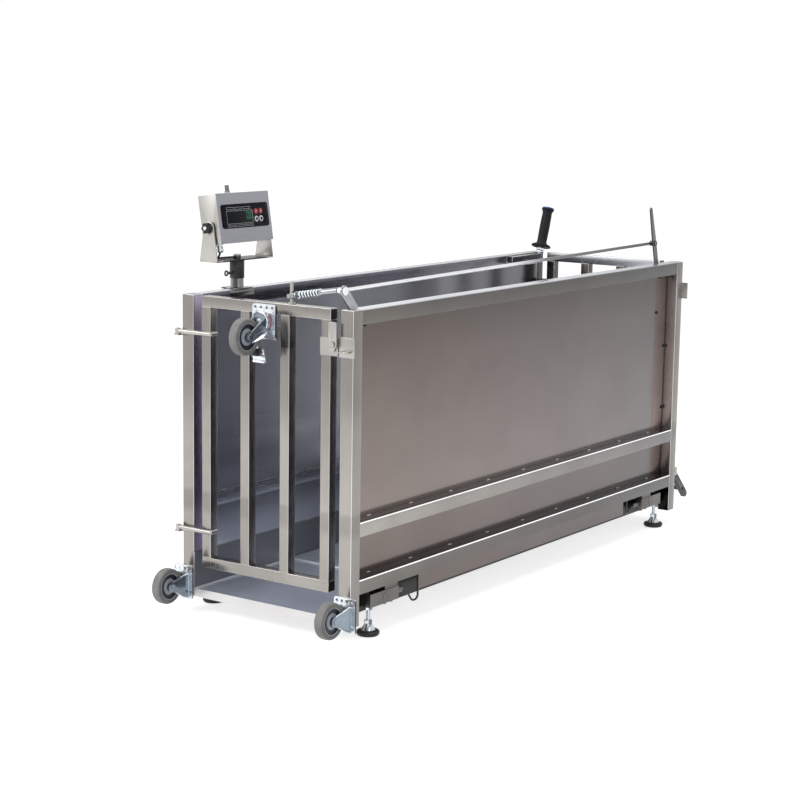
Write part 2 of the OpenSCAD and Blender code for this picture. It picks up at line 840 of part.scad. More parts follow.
module rod() color(zinc) at_origin() {
  translate(link_joint) rotate([rod_tilt, 0, 0]) round_y(rod_r, 0, 0, rod_len, 0);
  rod_end(link_joint, bolt_r + link_slack + 3);
  rod_end(lever_joint, bolt_r + 4);
}

// Spring strut between gate pin and link
module at_strut() {
  translate(ball_at) rotate([0, 0, strut_yaw]) rotate([0, -strut_pitch, 0]) children();
}

module strut_ball() color(zinc) at_origin() translate(ball_at) difference() {
  intersection() {
    sphere(r = ball_r, $fn = 64);
    translate([-ball_r, -ball_r, -ball_r + 1.5]) cube([2 * ball_r, 2 * ball_r, 2 * ball_r - 3]);
  }
  cylinder(r = gate_pin_r + play, h = 4 * ball_r, center = true, $fn = 48);
}

module strut() color(zinc) at_origin() at_strut() {
  difference() {
    union() {
      cylinder(r = ring_r, h = 11, center = true, $fn = 64);
      round_x(5, ring_r - 3, cap_x + 1, 0, 0);
    }
    sphere(r = ball_r + 0.3, $fn = 64);
  }
  round_x(coil_r + wire_r + 0.5, collar_x, collar_x + 4, 0, 0);
  translate([cap_x, 0, 0]) rotate([0, 90, 0])
    cylinder(r1 = coil_r + wire_r + 0.5, r2 = strut_r, h = 8, $fn = 48);
  difference() {
    round_x(strut_r, cap_x + 8, strut_len, 0, 0);
    round_z(2.5, strut_len - 12, 0, -20, 20, 32);
  }
}

coil_x0 = collar_x + 4 + seat;
coil_x1 = cap_x - seat;
coil_lead = 2 * wire_r;
coil_pitch = (coil_x1 - coil_x0 - 2 * coil_lead) / coil_turns;
function coil_at(t) = [coil_x0 + coil_lead + coil_pitch * t, coil_r * cos(360 * t), coil_r * sin(360 * t)];
coil_path = concat(
  [[coil_x0, coil_r, 0]],
  [for (i = [0:8 * coil_turns]) coil_at(i / 8)],
  [[coil_x1, coil_r, 0]]
);
coil_refs = [for (p = coil_path) [0, p[1], p[2]] / coil_r];
coil_gap = min([
  for (i = [0:len(coil_path) - 1], j = [0:len(coil_path) - 1])
    if (j >= i + 5) norm(coil_path[i] - coil_path[j]) - 2 * wire_r
]);
echo("least gap of the spring to itself", coil_gap);

module strut_spring() color(steel) at_origin() at_strut() swept(coil_path, coil_refs, wire_r, 6);

// Indicator
module mast_base() color(steel) at_origin() {
  box(mast_x - mast_plate / 2, mast_x + mast_plate / 2, mast_y - mast_plate / 2, mast_y + mast_plate / 2,
    crate_top, crate_top + 4);
  round_z(mast_r, mast_x, mast_y, crate_top + 4, sleeve_z, 64);
  round_z(spigot_r, mast_x, mast_y, crate_top + 4, base_z - 6, 64);
  box(-inner, 3 - inner, mast_y - 58, mast_y + 49, crate_top - 19, crate_top - 3);
}

screw_z = sleeve_z + 16;

module mast_sleeve() color(black) at_origin() difference() {
  round_z(sleeve_r, mast_x, mast_y, sleeve_z + side_play, base_z, 64);
  round_z(spigot_r + play, mast_x, mast_y, sleeve_z - 1, base_z - 5, 64);
  round_y(eye_screw_r + play, mast_x, mast_y - sleeve_r - 1, mast_y, screw_z);
}

module eye_screw() color(zinc) at_origin() {
  round_y(eye_screw_r, mast_x, mast_y - 41, mast_y - spigot_r - side_play, screw_z);
  translate([mast_x, mast_y - 47, screw_z]) rotate([0, 90, 0]) rotate_extrude($fn = 48)
    translate([6.2, 0]) circle(r = 2.6, $fn = 24);
}

module bracket() color(steel) at_origin() {
  half = bracket_d / 2;
  leg_z = base_z + bracket_t + seam;
  box(mast_x - half, mast_x + half, mast_y - leg_y - bracket_t, mast_y + leg_y + bracket_t,
    base_z, base_z + bracket_t);
  round_z(inlet_r, mast_x, mast_y, base_z, base_z + bracket_t + 12);
  for (y = [mast_y - leg_y - bracket_t, mast_y + leg_y]) translate([mast_x, 0, 0])
    plate_xz(y, y + bracket_t) difference() {
      union() {
        polygon([[-half, leg_z], [half, leg_z], [18, tilt_z], [-18, tilt_z]]);
        translate([0, tilt_z]) circle(r = 18, $fn = 48);
      }
      translate([0, tilt_z]) circle(r = tilt_pin_r + play, $fn = 48);
    }
}

// frame of the tilting case, X is out of its face
module at_tilt() {
  translate([mast_x, mast_y, tilt_z]) rotate([0, -case_tilt, 0]) children();
}

gland_y = -case_w / 2 + 29;
gland_drop = case_below + 12;

module case() color(steel) at_origin() at_tilt() {
  d = case_d / 2;
  w = case_w / 2;
  c = case_wall;
  difference() {
    box(-d, d, -w, w, -case_below, case_above);
    box(-d + c, d - c, -w + c, w - c, -case_below + c, case_above - c);
    round_z(2, 0, w - 20, -case_below - 1, -case_below + c + 1, 24);
  }
  for (s = [-1, 1]) scale([1, s, 1]) difference() {
    union() {
      round_y(tilt_pin_r + 4, 0, w, leg_y - side_play, 0);
      round_y(tilt_pin_r, 0, w, leg_y + bracket_t, 0);
    }
    round_y(knob_stud_r + play, 0, w + 1, leg_y + bracket_t + 1, 0);
  }
  round_z(8, 0, -25, case_above, case_above + 8, 6);
  round_z(6, 0, -25, case_above + 8, case_above + 24);
  round_z(9, 0, gland_y, -gland_drop, -case_below, 48);
}

button_spots = [for (z = [1, 0], y = [0, 1])
  [panel_off + panel_w / 2 - 55.5 + y * button_pitch, panel_h - panel_drop - 46 + z * (button_pitch + 1)]];

module panel() color(black) at_origin() at_tilt() {
  d = case_d / 2;
  y0 = panel_off - panel_w / 2;
  plate_yz(d, d + panel_t) difference() {
    round_rect(y0, y0 + panel_w, -panel_drop, panel_h - panel_drop, 8);
    for (b = button_spots) translate(b) circle(r = button_r + 0.4, $fn = 48);
  }
}

module button(i) {
  d = case_d / 2;
  round_x(button_r, d + 1.2, d + panel_t + 1.5, button_spots[i][0], button_spots[i][1]);
}

module button_a() color([0.7, 0.1, 0.08]) at_origin() at_tilt() button(0);

module button_b() color([0.7, 0.1, 0.08]) at_origin() at_tilt() button(1);

module button_c() color([0.8, 0.8, 0.8]) at_origin() at_tilt() button(2);

module button_d() color([0.8, 0.8, 0.8]) at_origin() at_tilt() button(3);

module board() color([0.1, 0.4, 0.2]) at_origin() at_tilt() {
  wall_x = case_d / 2 - case_wall;
  w = case_w / 2 - 27;
  low = 14 - case_below;
  high = case_above - 18;
  box(2, 4, -w, w, low, high);
  for (y = [12 - w, w - 12], z = [low + 8, high - 8]) round_x(4, 4, wall_x, y, z, 24);
  box(-26, -4, 22 - w, w - 22, -case_below + case_wall, 12);
}

module star_knob() {
  y0 = leg_y + bracket_t + side_play;
  round_y(knob_stud_r, 0, case_w / 2 + 2, y0, 0);
  round_y(9, 0, y0, y0 + 3, 0);
  round_y(12, 0, y0 + 3, y0 + 12, 0);
  for (a = [0:60:300]) round_y(4.2, 11.8 * cos(a), y0 + 3, y0 + 12, 11.8 * sin(a), 24);
}

module knob_front() color(black) at_origin() at_tilt() mirror([0, 1, 0]) star_knob();

module knob_rear() color(black) at_origin() at_tilt() star_knob();

// the lead leaves the gland, lies on the bracket base and ends at the inlet
lead_top = [mast_x + (gland_drop + 0.9) * sin(case_tilt), mast_y + gland_y,
  tilt_z - (gland_drop + 0.9) * cos(case_tilt)];
lead_z = base_z + bracket_t + lead_r + 1;
lead_path = [
  lead_top,
  lead_top + [1, -0.2, -6],
  lead_top + [0.5, -0.8, -12.5],
  lead_top + [-2.5, -1, -19.5],
  [mast_x + 1.5, lead_top[1] + 1, lead_z + 3.2],
  [mast_x - 4, lead_top[1] + 6.5, lead_z + 0.6],
  [mast_x - 7.5, lead_top[1] + 15, lead_z],
  [mast_x - 8.5, lead_top[1] + 26, lead_z],
  [mast_x - 8, mast_y - 48, lead_z],
  [mast_x - 6, mast_y - 36, lead_z],
  [mast_x - 3, mast_y - 25, lead_z],
  [mast_x - 1.2, mast_y - inlet_r - 6, lead_z],
  [mast_x - 0.8, mast_y - inlet_r - 0.5, lead_z]
];

module lead() color(black) at_origin() swept(lead_path, [for (p = lead_path) [1, 0, 0]], lead_r, 8);

// Feet
module foot(sx, y) {
  nut_top = cell_z - side_play;
  translate([sx * rail_x, y, 0]) {
    cylinder(r = pad_r - 3, h = 3, $fn = 64);
    translate([0, 0, 3]) cylinder(r = pad_r, h = pad_h - 3, $fn = 64);
    translate([0, 0, pad_h]) cylinder(r1 = pad_r - 12, r2 = 9, h = 18, $fn = 64);
    translate([0, 0, pad_h + 18]) cylinder(r = 11, h = 10, $fn = 6);
    cylinder(r = foot_stud_r, h = cell_top - 4, $fn = 48);
    translate([0, 0, nut_top - 9]) cylinder(r = 11, h = 9, $fn = 6);
  }
}

module foot_fr() color(rubber) at_origin() foot(1, foot_inset);

module foot_fl() color(rubber) at_origin() foot(-1, foot_inset);

module foot_rr() color(rubber) at_origin() foot(1, crate_l - foot_inset);

module foot_rl() color(rubber) at_origin() foot(-1, crate_l - foot_inset);

// Handles
module guide_tube() color(steel) at_origin() {
  square_tube(guide_x - guide / 2, guide_x + guide / 2, guide_end - guide_l, guide_end,
    guide_z - guide / 2, guide_z + guide / 2, guide_wall, 1);
}

// frame of the grip, Z runs along it
module at_grip() {
  translate([guide_x, grip_y, guide_z]) rotate([-grip_lean, 0, 0]) children();
}

module pull_handle() color(zinc) at_origin() {
  h = stem / 2;
  box(guide_x - h, guide_x + h, guide_end - guide_l + 12, grip_y + h, guide_z - h, guide_z + h);
  at_grip() cylinder(r = core_r, h = 34 + grip_l - 4, $fn = 48);
}

module grip() color(black) at_origin() at_grip() translate([0, 0, 34]) difference() {
  union() {
    cylinder(r = flange_r, h = flange_t, $fn = 64);
    cylinder(r = grip_r, h = grip_l, $fn = 64);
    translate([0, 0, grip_l - 14]) cylinder(r1 = grip_r, r2 = rim_top_r, h = 14, $fn = 64);
  }
  translate([0, 0, -1]) cylinder(r = core_r + 0.1, h = grip_l - 3 + 1, $fn = 48);
}

module bail_clevises() color(steel) at_origin() {
  both_sides() {
    for (x = [-1, 1]) {
      e = rail_x + x * (bail_t / 2 + 4);
      box(e - 3, e + 3, crate_l, bail_y + 12, bail_z - 14, bail_z + 14);
    }
    round_x(bail_pin_r, rail_x - bail_t / 2 - 9, rail_x + bail_t / 2 + 9, bail_y, bail_z);
  }
}

module lift_bail() color(rubber) at_origin() {
  half = bail_w / 2 - 2;
  both_sides() translate([0, bail_y, bail_z]) rotate([-bail_drop, 0, 0])
    plate_yz(rail_x - bail_t / 2, rail_x + bail_t / 2) difference() {
      union() {
        for (y = [0, bail_l]) translate([y, 0]) circle(r = half, $fn = 48);
        translate([0, -half]) square([bail_l, 2 * half]);
      }
      circle(r = bail_pin_r + play, $fn = 48);
      translate([bail_tube, 0]) circle(r = bail_r + seam, $fn = 48);
    }
  translate([0, bail_y + bail_tube * cos(bail_drop), bail_z - bail_tube * sin(bail_drop)]) difference() {
    round_x(bail_r, -rail_x - bail_t / 2, rail_x + bail_t / 2, 0, 0);
    round_x(bail_r - 2, -rail_x - bail_t, rail_x + bail_t, 0, 0);
  }
}

module junction_box() color(rubber) at_origin() {
  under = floor_z - floor_t;
  y = crate_l / 2;
  box(-junction_w / 2, junction_w / 2, y - junction_l / 2, y + junction_l / 2, under - junction_h, under);
}

posts();
side_rails();
side_sheets();
floor_tray();
floor_plate();
cross_members();
hinge_pins();
keepers();
load_cells();
cell_spacers();
cell_bolts();
cell_glands();
cell_cables();
fixed_forks();
mast_base();
guide_tube();
bail_clevises();
rail_pivots();
junction_box();
front_frame();
front_fittings();
sw_plate();
front_tongue();
rear_frame();
rear_fittings();
rear_tongue();
tyre_right();
hub_right();
tyre_left();
hub_left();
sw_fork();
sw_tyre();
sw_hub();
sw_brake();
lever();
rod();
link();
strut_ball();
strut();
strut_spring();
mast_sleeve();
bracket();
lead();
eye_screw();
case();
panel();
board();
knob_front();
knob_rear();
button_a();
button_b();
button_c();
button_d();
foot_fr();
foot_fl();
foot_rr();
foot_rl();
pull_handle();
grip();
lift_bail();
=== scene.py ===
"""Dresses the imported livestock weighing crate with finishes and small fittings, and sets a studio."""

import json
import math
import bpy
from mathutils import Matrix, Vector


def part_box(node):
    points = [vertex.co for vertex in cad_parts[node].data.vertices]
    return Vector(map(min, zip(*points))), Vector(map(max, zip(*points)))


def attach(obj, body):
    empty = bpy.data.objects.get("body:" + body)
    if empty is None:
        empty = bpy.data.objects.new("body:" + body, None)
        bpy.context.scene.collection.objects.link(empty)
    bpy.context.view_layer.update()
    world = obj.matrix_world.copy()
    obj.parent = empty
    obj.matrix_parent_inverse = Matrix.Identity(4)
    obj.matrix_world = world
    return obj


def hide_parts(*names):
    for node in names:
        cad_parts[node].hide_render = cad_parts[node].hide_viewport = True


bl_info = {
    "name": "Weighing crate dresser",
    "version": (1, 0, 0),
    "blender": (4, 5, 0),
    "location": "View3D > Sidebar > Crate",
    "description": "Dresses the packed weighing crate piece by piece and sets a plain studio",
    "category": "Object",
}

import bpy
from bpy.props import FloatProperty, FloatVectorProperty, IntProperty, PointerProperty
from mathutils import Matrix, Vector

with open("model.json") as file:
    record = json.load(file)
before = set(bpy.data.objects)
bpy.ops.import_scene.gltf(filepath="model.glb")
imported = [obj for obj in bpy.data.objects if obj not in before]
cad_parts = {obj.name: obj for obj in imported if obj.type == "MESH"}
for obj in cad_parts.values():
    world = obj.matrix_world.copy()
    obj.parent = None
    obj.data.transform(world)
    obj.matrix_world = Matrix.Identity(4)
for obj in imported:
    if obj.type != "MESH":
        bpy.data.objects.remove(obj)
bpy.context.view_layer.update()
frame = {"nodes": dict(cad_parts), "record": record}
NODES = frame["nodes"]

POSTS_LOW, POSTS_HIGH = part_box("posts")
MIDDLE_X = (POSTS_LOW.x + POSTS_HIGH.x) / 2
FRONT_Y = POSTS_LOW.y
LENGTH = POSTS_HIGH.y - POSTS_LOW.y
HALF_WIDTH = (POSTS_HIGH.x - POSTS_LOW.x) / 2
MM = 0.001


def place(x, y, z):
    """A point in metres from millimetres right of the middle, behind the front face and above the ground."""
    return Vector((MIDDLE_X + x * MM, FRONT_Y + y * MM, z * MM))


REAR = LENGTH / MM
SIDE = HALF_WIDTH / MM

# Places that several pieces share, in millimetres.
TUBE = 40
LOW_RAIL, MID_RAIL, TOP_RAIL = 169, 327, 898
POST_INNER = SIDE - TUBE
SHEET_X = SIDE - 38
GATE_TUBE = 30
GATE_Y = 13
GATE_RAILS = (147, 883)
GATE_BARS = (-207, -69, 69, 207)
MAST = (-275, 211)
TILT_AXIS = place(*MAST, 1076)
TILT_BACK = math.radians(9)
BASE_TOP = 984
CASE_FACE = 32.5
PANEL_FACE = 36.5
GLASS_FACE = 37
STRUT_BALL = place(80, 13, 920)
STRUT_END = place(233, 14.6, 945.6)
GRIP_ROOT = place(-242.5, REAR - 49, 883.5)
GRIP_LEAN = math.radians(18)
RIGHT_CASTER, LEFT_CASTER = 279, -293
CASTER_Y, CASTER_Z = -72, 79.5
SWIVEL_Z = 846
WHEELS = {
    "right": (place(RIGHT_CASTER, CASTER_Y, CASTER_Z), "wheel_right", "tyre_right", "hub_right"),
    "left": (place(LEFT_CASTER, CASTER_Y, CASTER_Z), "wheel_left", "tyre_left", "hub_left"),
    "swivel": (place(0, -88, 813), "swivel_wheel", "sw_tyre", "sw_hub"),
}
CELL_X, CELL_Z = 275, 97.5
FOOT_Y, GLAND_Y, CABLE_Y = 109, 229, 263
FEET = {
    "fr": (CELL_X, FOOT_Y),
    "fl": (-CELL_X, FOOT_Y),
    "rr": (CELL_X, REAR - FOOT_Y),
    "rl": (-CELL_X, REAR - FOOT_Y),
}


def tint(name, what, default):
    """A colour setting for the sidebar."""
    limits = {"subtype": "COLOR", "size": 3, "min": 0, "max": 1}
    return FloatVectorProperty(name=name, description=what, default=default, **limits)


def length(name, what, default):
    """A length setting for the sidebar, in metres."""
    return FloatProperty(name=name, description=what, unit="LENGTH", min=0, default=default)


class CrateFinishes(bpy.types.PropertyGroup):
    """Colours of the crate's finishes, and of its painted highlights and shade."""

    tube: tint("Tube", "Brushed stainless tube", (0.31, 0.292, 0.272))
    # Painted highlight: the bright tube-corner colour stands for light on the rounded edges.
    edge: tint("Tube corners", "Bright corners of the tubes", (0.72, 0.70, 0.69))
    sheet: tint("Sheet", "Rolled stainless sheet", (0.192, 0.166, 0.158))
    inside: tint("Inside", "Inner faces of sheets and rails", (0.70, 0.705, 0.755))
    floor: tint("Floor", "Floor tray and tread plate", (0.64, 0.69, 0.80))
    fitting: tint("Fittings", "Plain stainless fittings", (0.42, 0.405, 0.385))
    dark_steel: tint("Dark steel", "Unpolished lever, rod and mast", (0.15, 0.145, 0.14))
    case: tint("Case", "Brushed face of the indicator case", (0.31, 0.315, 0.345))
    bracket: tint("Bracket", "Pale sheet of the indicator bracket", (0.46, 0.447, 0.425))
    cell: tint("Load cells", "Load cells and their glands", (0.14, 0.136, 0.132))
    zinc: tint("Zinc", "Blue-white zinc plating", (0.70, 0.74, 0.79))
    # Painted shade: the forks' colour is a darker copy of the zinc for legs in shade.
    fork: tint("Forks", "Shaded zinc of the fork legs", (0.26, 0.31, 0.36))
    tyre: tint("Tyres", "Grey rubber of the treads", (0.262, 0.256, 0.248))
    # Painted shade: the tyres' sides take a darker copy of the tread rubber.
    tyre_side_shade: tint("Tyre sides", "Darker sides of the tyres", (0.19, 0.188, 0.186))
    hub: tint("Hubs", "Dark blue-grey plastic of the hubs", (0.020, 0.023, 0.034))
    hub_ring: tint("Hub rings", "Paler rings of the hubs", (0.38, 0.41, 0.45))
    rubber: tint("Rubber", "Black rubber", (0.016, 0.016, 0.017))
    grip: tint("Grip", "Dark rubber of the grip", (0.016, 0.018, 0.021))
    panel: tint("Panel", "Black foil of the front panel", (0.008, 0.008, 0.014))
    digits: tint("Digits", "Dim lit digits of the display", (0.01, 0.09, 0.045))
    red_key: tint("Red keys", "Red foil keys", (0.50, 0.035, 0.06))
    grip_cap: tint("Grip cap", "Blue end cap of the grip", (0.045, 0.11, 0.30))
    bail: tint("Bail", "Dark grey paint of the lift bail", (0.075, 0.072, 0.074))


class CrateSizes(bpy.types.PropertyGroup):
    """Sizes of the small pieces."""

    tube_corner: length("Tube corners", "Rounding of the square tubes", 0.0028)
    plate_edge: length("Plate edges", "Rounding of plates and fittings", 0.0007)
    weld_spot: length("Weld spots", "Radius of the stitch welds", 0.0045)
    weld_pitch: length("Weld pitch", "Distance between the stitch welds", 0.20)
    round_steps: IntProperty(
        name="Round steps",
        description="Corners on a turned piece",
        min=16,
        max=128,
        default=64,
    )


def finishes():
    return bpy.context.scene.crate_finishes


def sizes():
    return bpy.context.scene.crate_sizes


# Materials

MATERIALS = {}

# Most values of a noise lie between these two.
NOISE_LOW, NOISE_HIGH = 0.3, 0.7

# A point this near a face, in millimetres, belongs to it.
SKIN = 0.2


class Paint:
    """Builds one node material step by step and keeps it under its name."""

    def __init__(self, name, color, metallic, roughness):
        mat = bpy.data.materials.new(name)
        mat.use_nodes = True
        self.nodes = mat.node_tree.nodes
        self.links = mat.node_tree.links
        self.shader = self.nodes["Principled BSDF"]
        self.shader.inputs["Base Color"].default_value = (*color, 1)
        self.shader.inputs["Metallic"].default_value = metallic
        self.shader.inputs["Roughness"].default_value = roughness
        self.color = color
        self.roughness = roughness
        self.coords = self.nodes.new("ShaderNodeTexCoord")
        MATERIALS[name] = mat

    def noise(self, scale, stretch=(1, 1, 1), detail=3.0, rough=0.55):
        """Noise in object space, stretched by a mapping."""
        mapping = self.nodes.new("ShaderNodeMapping")
        mapping.inputs["Scale"].default_value = stretch
        self.links.new(self.coords.outputs["Object"], mapping.inputs["Vector"])
        noise = self.nodes.new("ShaderNodeTexNoise")
        noise.inputs["Scale"].default_value = scale
        noise.inputs["Detail"].default_value = detail
        noise.inputs["Roughness"].default_value = rough
        self.links.new(mapping.outputs["Vector"], noise.inputs["Vector"])
        return noise.outputs["Fac"]

    def cells(self, scale):
        """Crystal cells, used for the spangle of zinc."""
        cells = self.nodes.new("ShaderNodeTexVoronoi")
        cells.inputs["Scale"].default_value = scale
        self.links.new(self.coords.outputs["Object"], cells.inputs["Vector"])
        split = self.nodes.new("ShaderNodeSeparateColor")
        self.links.new(cells.outputs["Color"], split.inputs["Color"])
        return split.outputs["Red"]

    def tones(self, value, low, high, start=NOISE_LOW, end=NOISE_HIGH):
        """Base colour from darker to lighter tones of the finish."""
        ramp = self.nodes.new("ShaderNodeValToRGB")
        ramp.color_ramp.elements[0].position = start
        ramp.color_ramp.elements[1].position = end
        for element, factor in zip(ramp.color_ramp.elements, (low, high)):
            element.color = (*times(self.color, factor), 1)
        self.links.new(value, ramp.inputs["Fac"])
        self.links.new(ramp.outputs["Color"], self.shader.inputs["Base Color"])

    def span(self, value, start, end, low=0.0, high=1.0):
        """A value between start and end brought to low and high."""
        node = self.nodes.new("ShaderNodeMapRange")
        ends = {"From Min": start, "From Max": end, "To Min": low, "To Max": high}
        for key, number in ends.items():
            node.inputs[key].default_value = number
        self.links.new(value, node.inputs["Value"])
        return node.outputs["Result"]

    def math(self, kind, a, b):
        """One Math node; a is an output, b a number."""
        node = self.nodes.new("ShaderNodeMath")
        node.operation = kind
        self.links.new(a, node.inputs[0])
        node.inputs[1].default_value = b
        return node.outputs[0]

    def axis(self, letter, middle=None):
        """Object coordinate in metres, or its distance from a middle."""
        split = self.nodes.new("ShaderNodeSeparateXYZ")
        self.links.new(self.coords.outputs["Object"], split.inputs["Vector"])
        value = split.outputs[letter]
        if middle is None:
            return value
        return self.math("ABSOLUTE", self.math("SUBTRACT", value, middle), 0)

    def bands(self, value, stops):
        """Colour that changes along a coordinate; stops are (metres, colour)."""
        low, high = stops[0][0], stops[-1][0]
        ramp = self.nodes.new("ShaderNodeValToRGB")
        while len(ramp.color_ramp.elements) < len(stops):
            ramp.color_ramp.elements.new(0.5)
        for element, (metres, color) in zip(ramp.color_ramp.elements, stops):
            element.position = (metres - low) / (high - low)
            element.color = (*color, 1)
        self.links.new(self.span(value, low, high), ramp.inputs["Fac"])
        return ramp.outputs["Color"]

    def mix(self, kind, factor, a, b):
        """One colour Mix node; factor, a and b are outputs or plain values."""
        node = self.nodes.new("ShaderNodeMix")
        node.data_type = "RGBA"
        node.blend_type = kind
        for key, value in (("Factor", factor), ("A", a), ("B", b)):
            socket = [i for i in node.inputs if i.name == key and i.enabled][0]
            if isinstance(value, bpy.types.NodeSocket):
                self.links.new(value, socket)
            elif key == "Factor":
                socket.default_value = value
            else:
                socket.default_value = (*value, 1)
        return [o for o in node.outputs if o.enabled][0]

    def product(self, a, b):
        """Two colours multiplied."""
        return self.mix("MULTIPLY", 1.0, a, b)

    def choose(self, value, limit, below, above):
        """One colour where value is below the limit and another above."""
        return self.mix("MIX", self.math("LESS_THAN", value, limit), above, below)

    def coat(self, color, value, low, high):
        """Base colour from a colour output, with the tones of value on top."""
        out = self.product(color, self.span(value, NOISE_LOW, NOISE_HIGH, low, high))
        self.links.new(out, self.shader.inputs["Base Color"])

    def gloss(self, value, spread):
        """Roughness that varies round its mean."""
        low, high = max(0.02, self.roughness - spread), min(1, self.roughness + spread)
        out = self.span(value, NOISE_LOW, NOISE_HIGH, low, high)
        self.links.new(out, self.shader.inputs["Roughness"])

    def bump(self, value, strength, depth):
        """Fine relief."""
        bump = self.nodes.new("ShaderNodeBump")
        bump.inputs["Strength"].default_value = strength
        bump.inputs["Distance"].default_value = depth
        self.links.new(value, bump.inputs["Height"])
        self.links.new(bump.outputs["Normal"], self.shader.inputs["Normal"])


def times(color, factor):
    """A darker or lighter tone of a colour."""
    return tuple(min(1, c * factor) for c in color)


def grey(level):
    return (level, level, level)


def by_height(paint, tones):
    """Grey tones that change with height; tones are (metres, tone)."""
    return paint.bands(paint.axis("Z"), [(z, grey(tone)) for z, tone in tones])


def by_length(paint, stops):
    """Colours that change along the crate; stops are (share of its length, colour)."""
    return paint.bands(paint.axis("Y"), [(FRONT_Y + share * LENGTH, color) for share, color in stops])


def inside(paint):
    """Inner faces with painted reflections of each other, the left wall darker to the rear."""
    color = finishes().inside
    # Painted reflection tones along the left wall; the right wall is a little darker all over.
    tones = ((0, 1.2), (0.2, 1.3), (0.3, 0.7), (0.42, 0.48), (0.6, 0.38), (0.75, 0.24), (1, 0.21))
    left = by_length(paint, [(share, times(color, tone)) for share, tone in tones])
    return paint.choose(paint.axis("X"), MIDDLE_X, left, times(color, 0.95))


def rail_pattern(paint):
    """Rails: painted reflections give each its own tone, darker to the rear; the shelves carry a dark painted
    reflection with a painted white highlight on the outer edge.
    """
    across = paint.axis("X", MIDDLE_X)
    shelf_reflection, sky_reflection, white, line = (0.15, 0.15, 0.17), (0.72, 0.74, 0.78), (0.95, 0.95, 0.96), (0.50, 0.51, 0.54)
    # Painted reflections: each rail's outer face has its own tone; the top faces are dark on the shelves and
    # sky-pale on the top rail.
    stops = [((LOW_RAIL - TUBE - 9) * MM, times(paint.color, 0.6))]
    for top, tone, top_reflection in ((LOW_RAIL, 0.58, shelf_reflection), (MID_RAIL, 1.08, shelf_reflection), (TOP_RAIL, 0.50, sky_reflection)):
        face = times(paint.color, tone)
        stops += [((top - TUBE - 1) * MM, face), ((top - 0.5) * MM, face), ((top - 0.3) * MM, top_reflection)]
    # Painted reflection that darkens towards the rear.
    reflection_fade = ((0, grey(1.0)), (0.8, (0.56, 0.57, 0.60)), (1, (0.38, 0.39, 0.42)))
    outer = paint.product(paint.bands(paint.axis("Z"), stops), by_length(paint, reflection_fade))
    # Painted highlight: a white line along the outer edge of each shelf.
    for top in (LOW_RAIL, MID_RAIL):
        outer = paint.choose(paint.axis("Z", (top - 2) * MM), 1.8 * MM, white, outer)
    from_line = paint.math("ABSOLUTE", paint.math("SUBTRACT", across, (SIDE - TUBE / 2) * MM), 0)
    lined = paint.choose(from_line, 1.4 * MM, line, outer)
    outer = paint.choose(paint.axis("Z", MID_RAIL * MM), SKIN * MM, lined, outer)
    # Inner faces: painted reflections below, painted shade on the top rail's inner face, a painted sky
    # reflection on its top.
    inner = paint.choose(paint.axis("Z"), 0.5, inside(paint), (0.19, 0.183, 0.215))
    inner = paint.choose(paint.axis("Z"), (TOP_RAIL - SKIN) * MM, inner, sky_reflection)
    return paint.choose(across, (POST_INNER + SKIN) * MM, inner, outer)


def upright_tones(paint):
    """Uprights: a darker belt where the polish mirrors the floor's far edge."""
    tones = [(0.0, 0.92), (0.28, 1.0), (0.305, 0.80), (0.345, 0.84), (0.356, 1.06), (0.60, 1.0), (0.90, 0.94)]
    return by_height(paint, tones)


def post_pattern(paint):
    """Posts: outer sides in painted shade, inner faces with painted reflections, dark on the rear posts; the
    rear posts' faces towards the sheets are painted paler, black below the bottom rail.
    """
    across = paint.axis("X", MIDDLE_X)
    # Painted shade: the outer sides darker than the faces.
    face = paint.choose(across, (SIDE - SKIN) * MM, paint.color, times(paint.color, 0.80))
    face = paint.product(face, upright_tones(paint))
    # Painted light on the rear posts' faces towards the sheets: black shade below the bottom rail, a pale
    # reflection above it.
    under = (LOW_RAIL - TUBE) * MM
    rear = paint.bands(paint.axis("Z"), [(under - MM, grey(0.015)), (under, (0.50, 0.46, 0.44))])
    face = paint.choose(paint.axis("Y", FRONT_Y + LENGTH - TUBE * MM), 2 * SKIN * MM, rear, face)
    # Painted reflections on the inner faces: pale on the front posts, dark on the rear ones.
    middle = FRONT_Y + LENGTH / 2
    inner = paint.choose(paint.axis("Y"), middle, (0.46, 0.38, 0.50), (0.08, 0.075, 0.085))
    return paint.choose(across, (POST_INNER + SKIN) * MM, inner, face)


def gate_pattern(paint):
    """Front gate: the third bar mirrors the caster's plate below the top rail."""
    face = paint.product(paint.color, upright_tones(paint))
    mirror = ((0.7815, 1.0), (0.782, 0.42), (0.815, 0.60), (0.85, 0.75), (0.868, 1.0))
    patch = paint.product(face, by_height(paint, mirror))
    return paint.choose(paint.axis("X", MIDDLE_X + GATE_BARS[2] * MM), 0.016, patch, face)


def rear_gate_pattern(paint):
    """Rear gate: towards the inside its rails lie in the light and its bars in the shade."""
    bars, rails = times(paint.color, 0.30), (0.66, 0.68, 0.70)
    inner = paint.bands(paint.axis("Z"), [(0.161, rails), (0.163, bars), (0.866, bars), (0.869, rails)])
    outer = paint.product(paint.color, upright_tones(paint))
    return paint.choose(paint.axis("Y"), FRONT_Y + LENGTH + 0.0015, inner, outer)


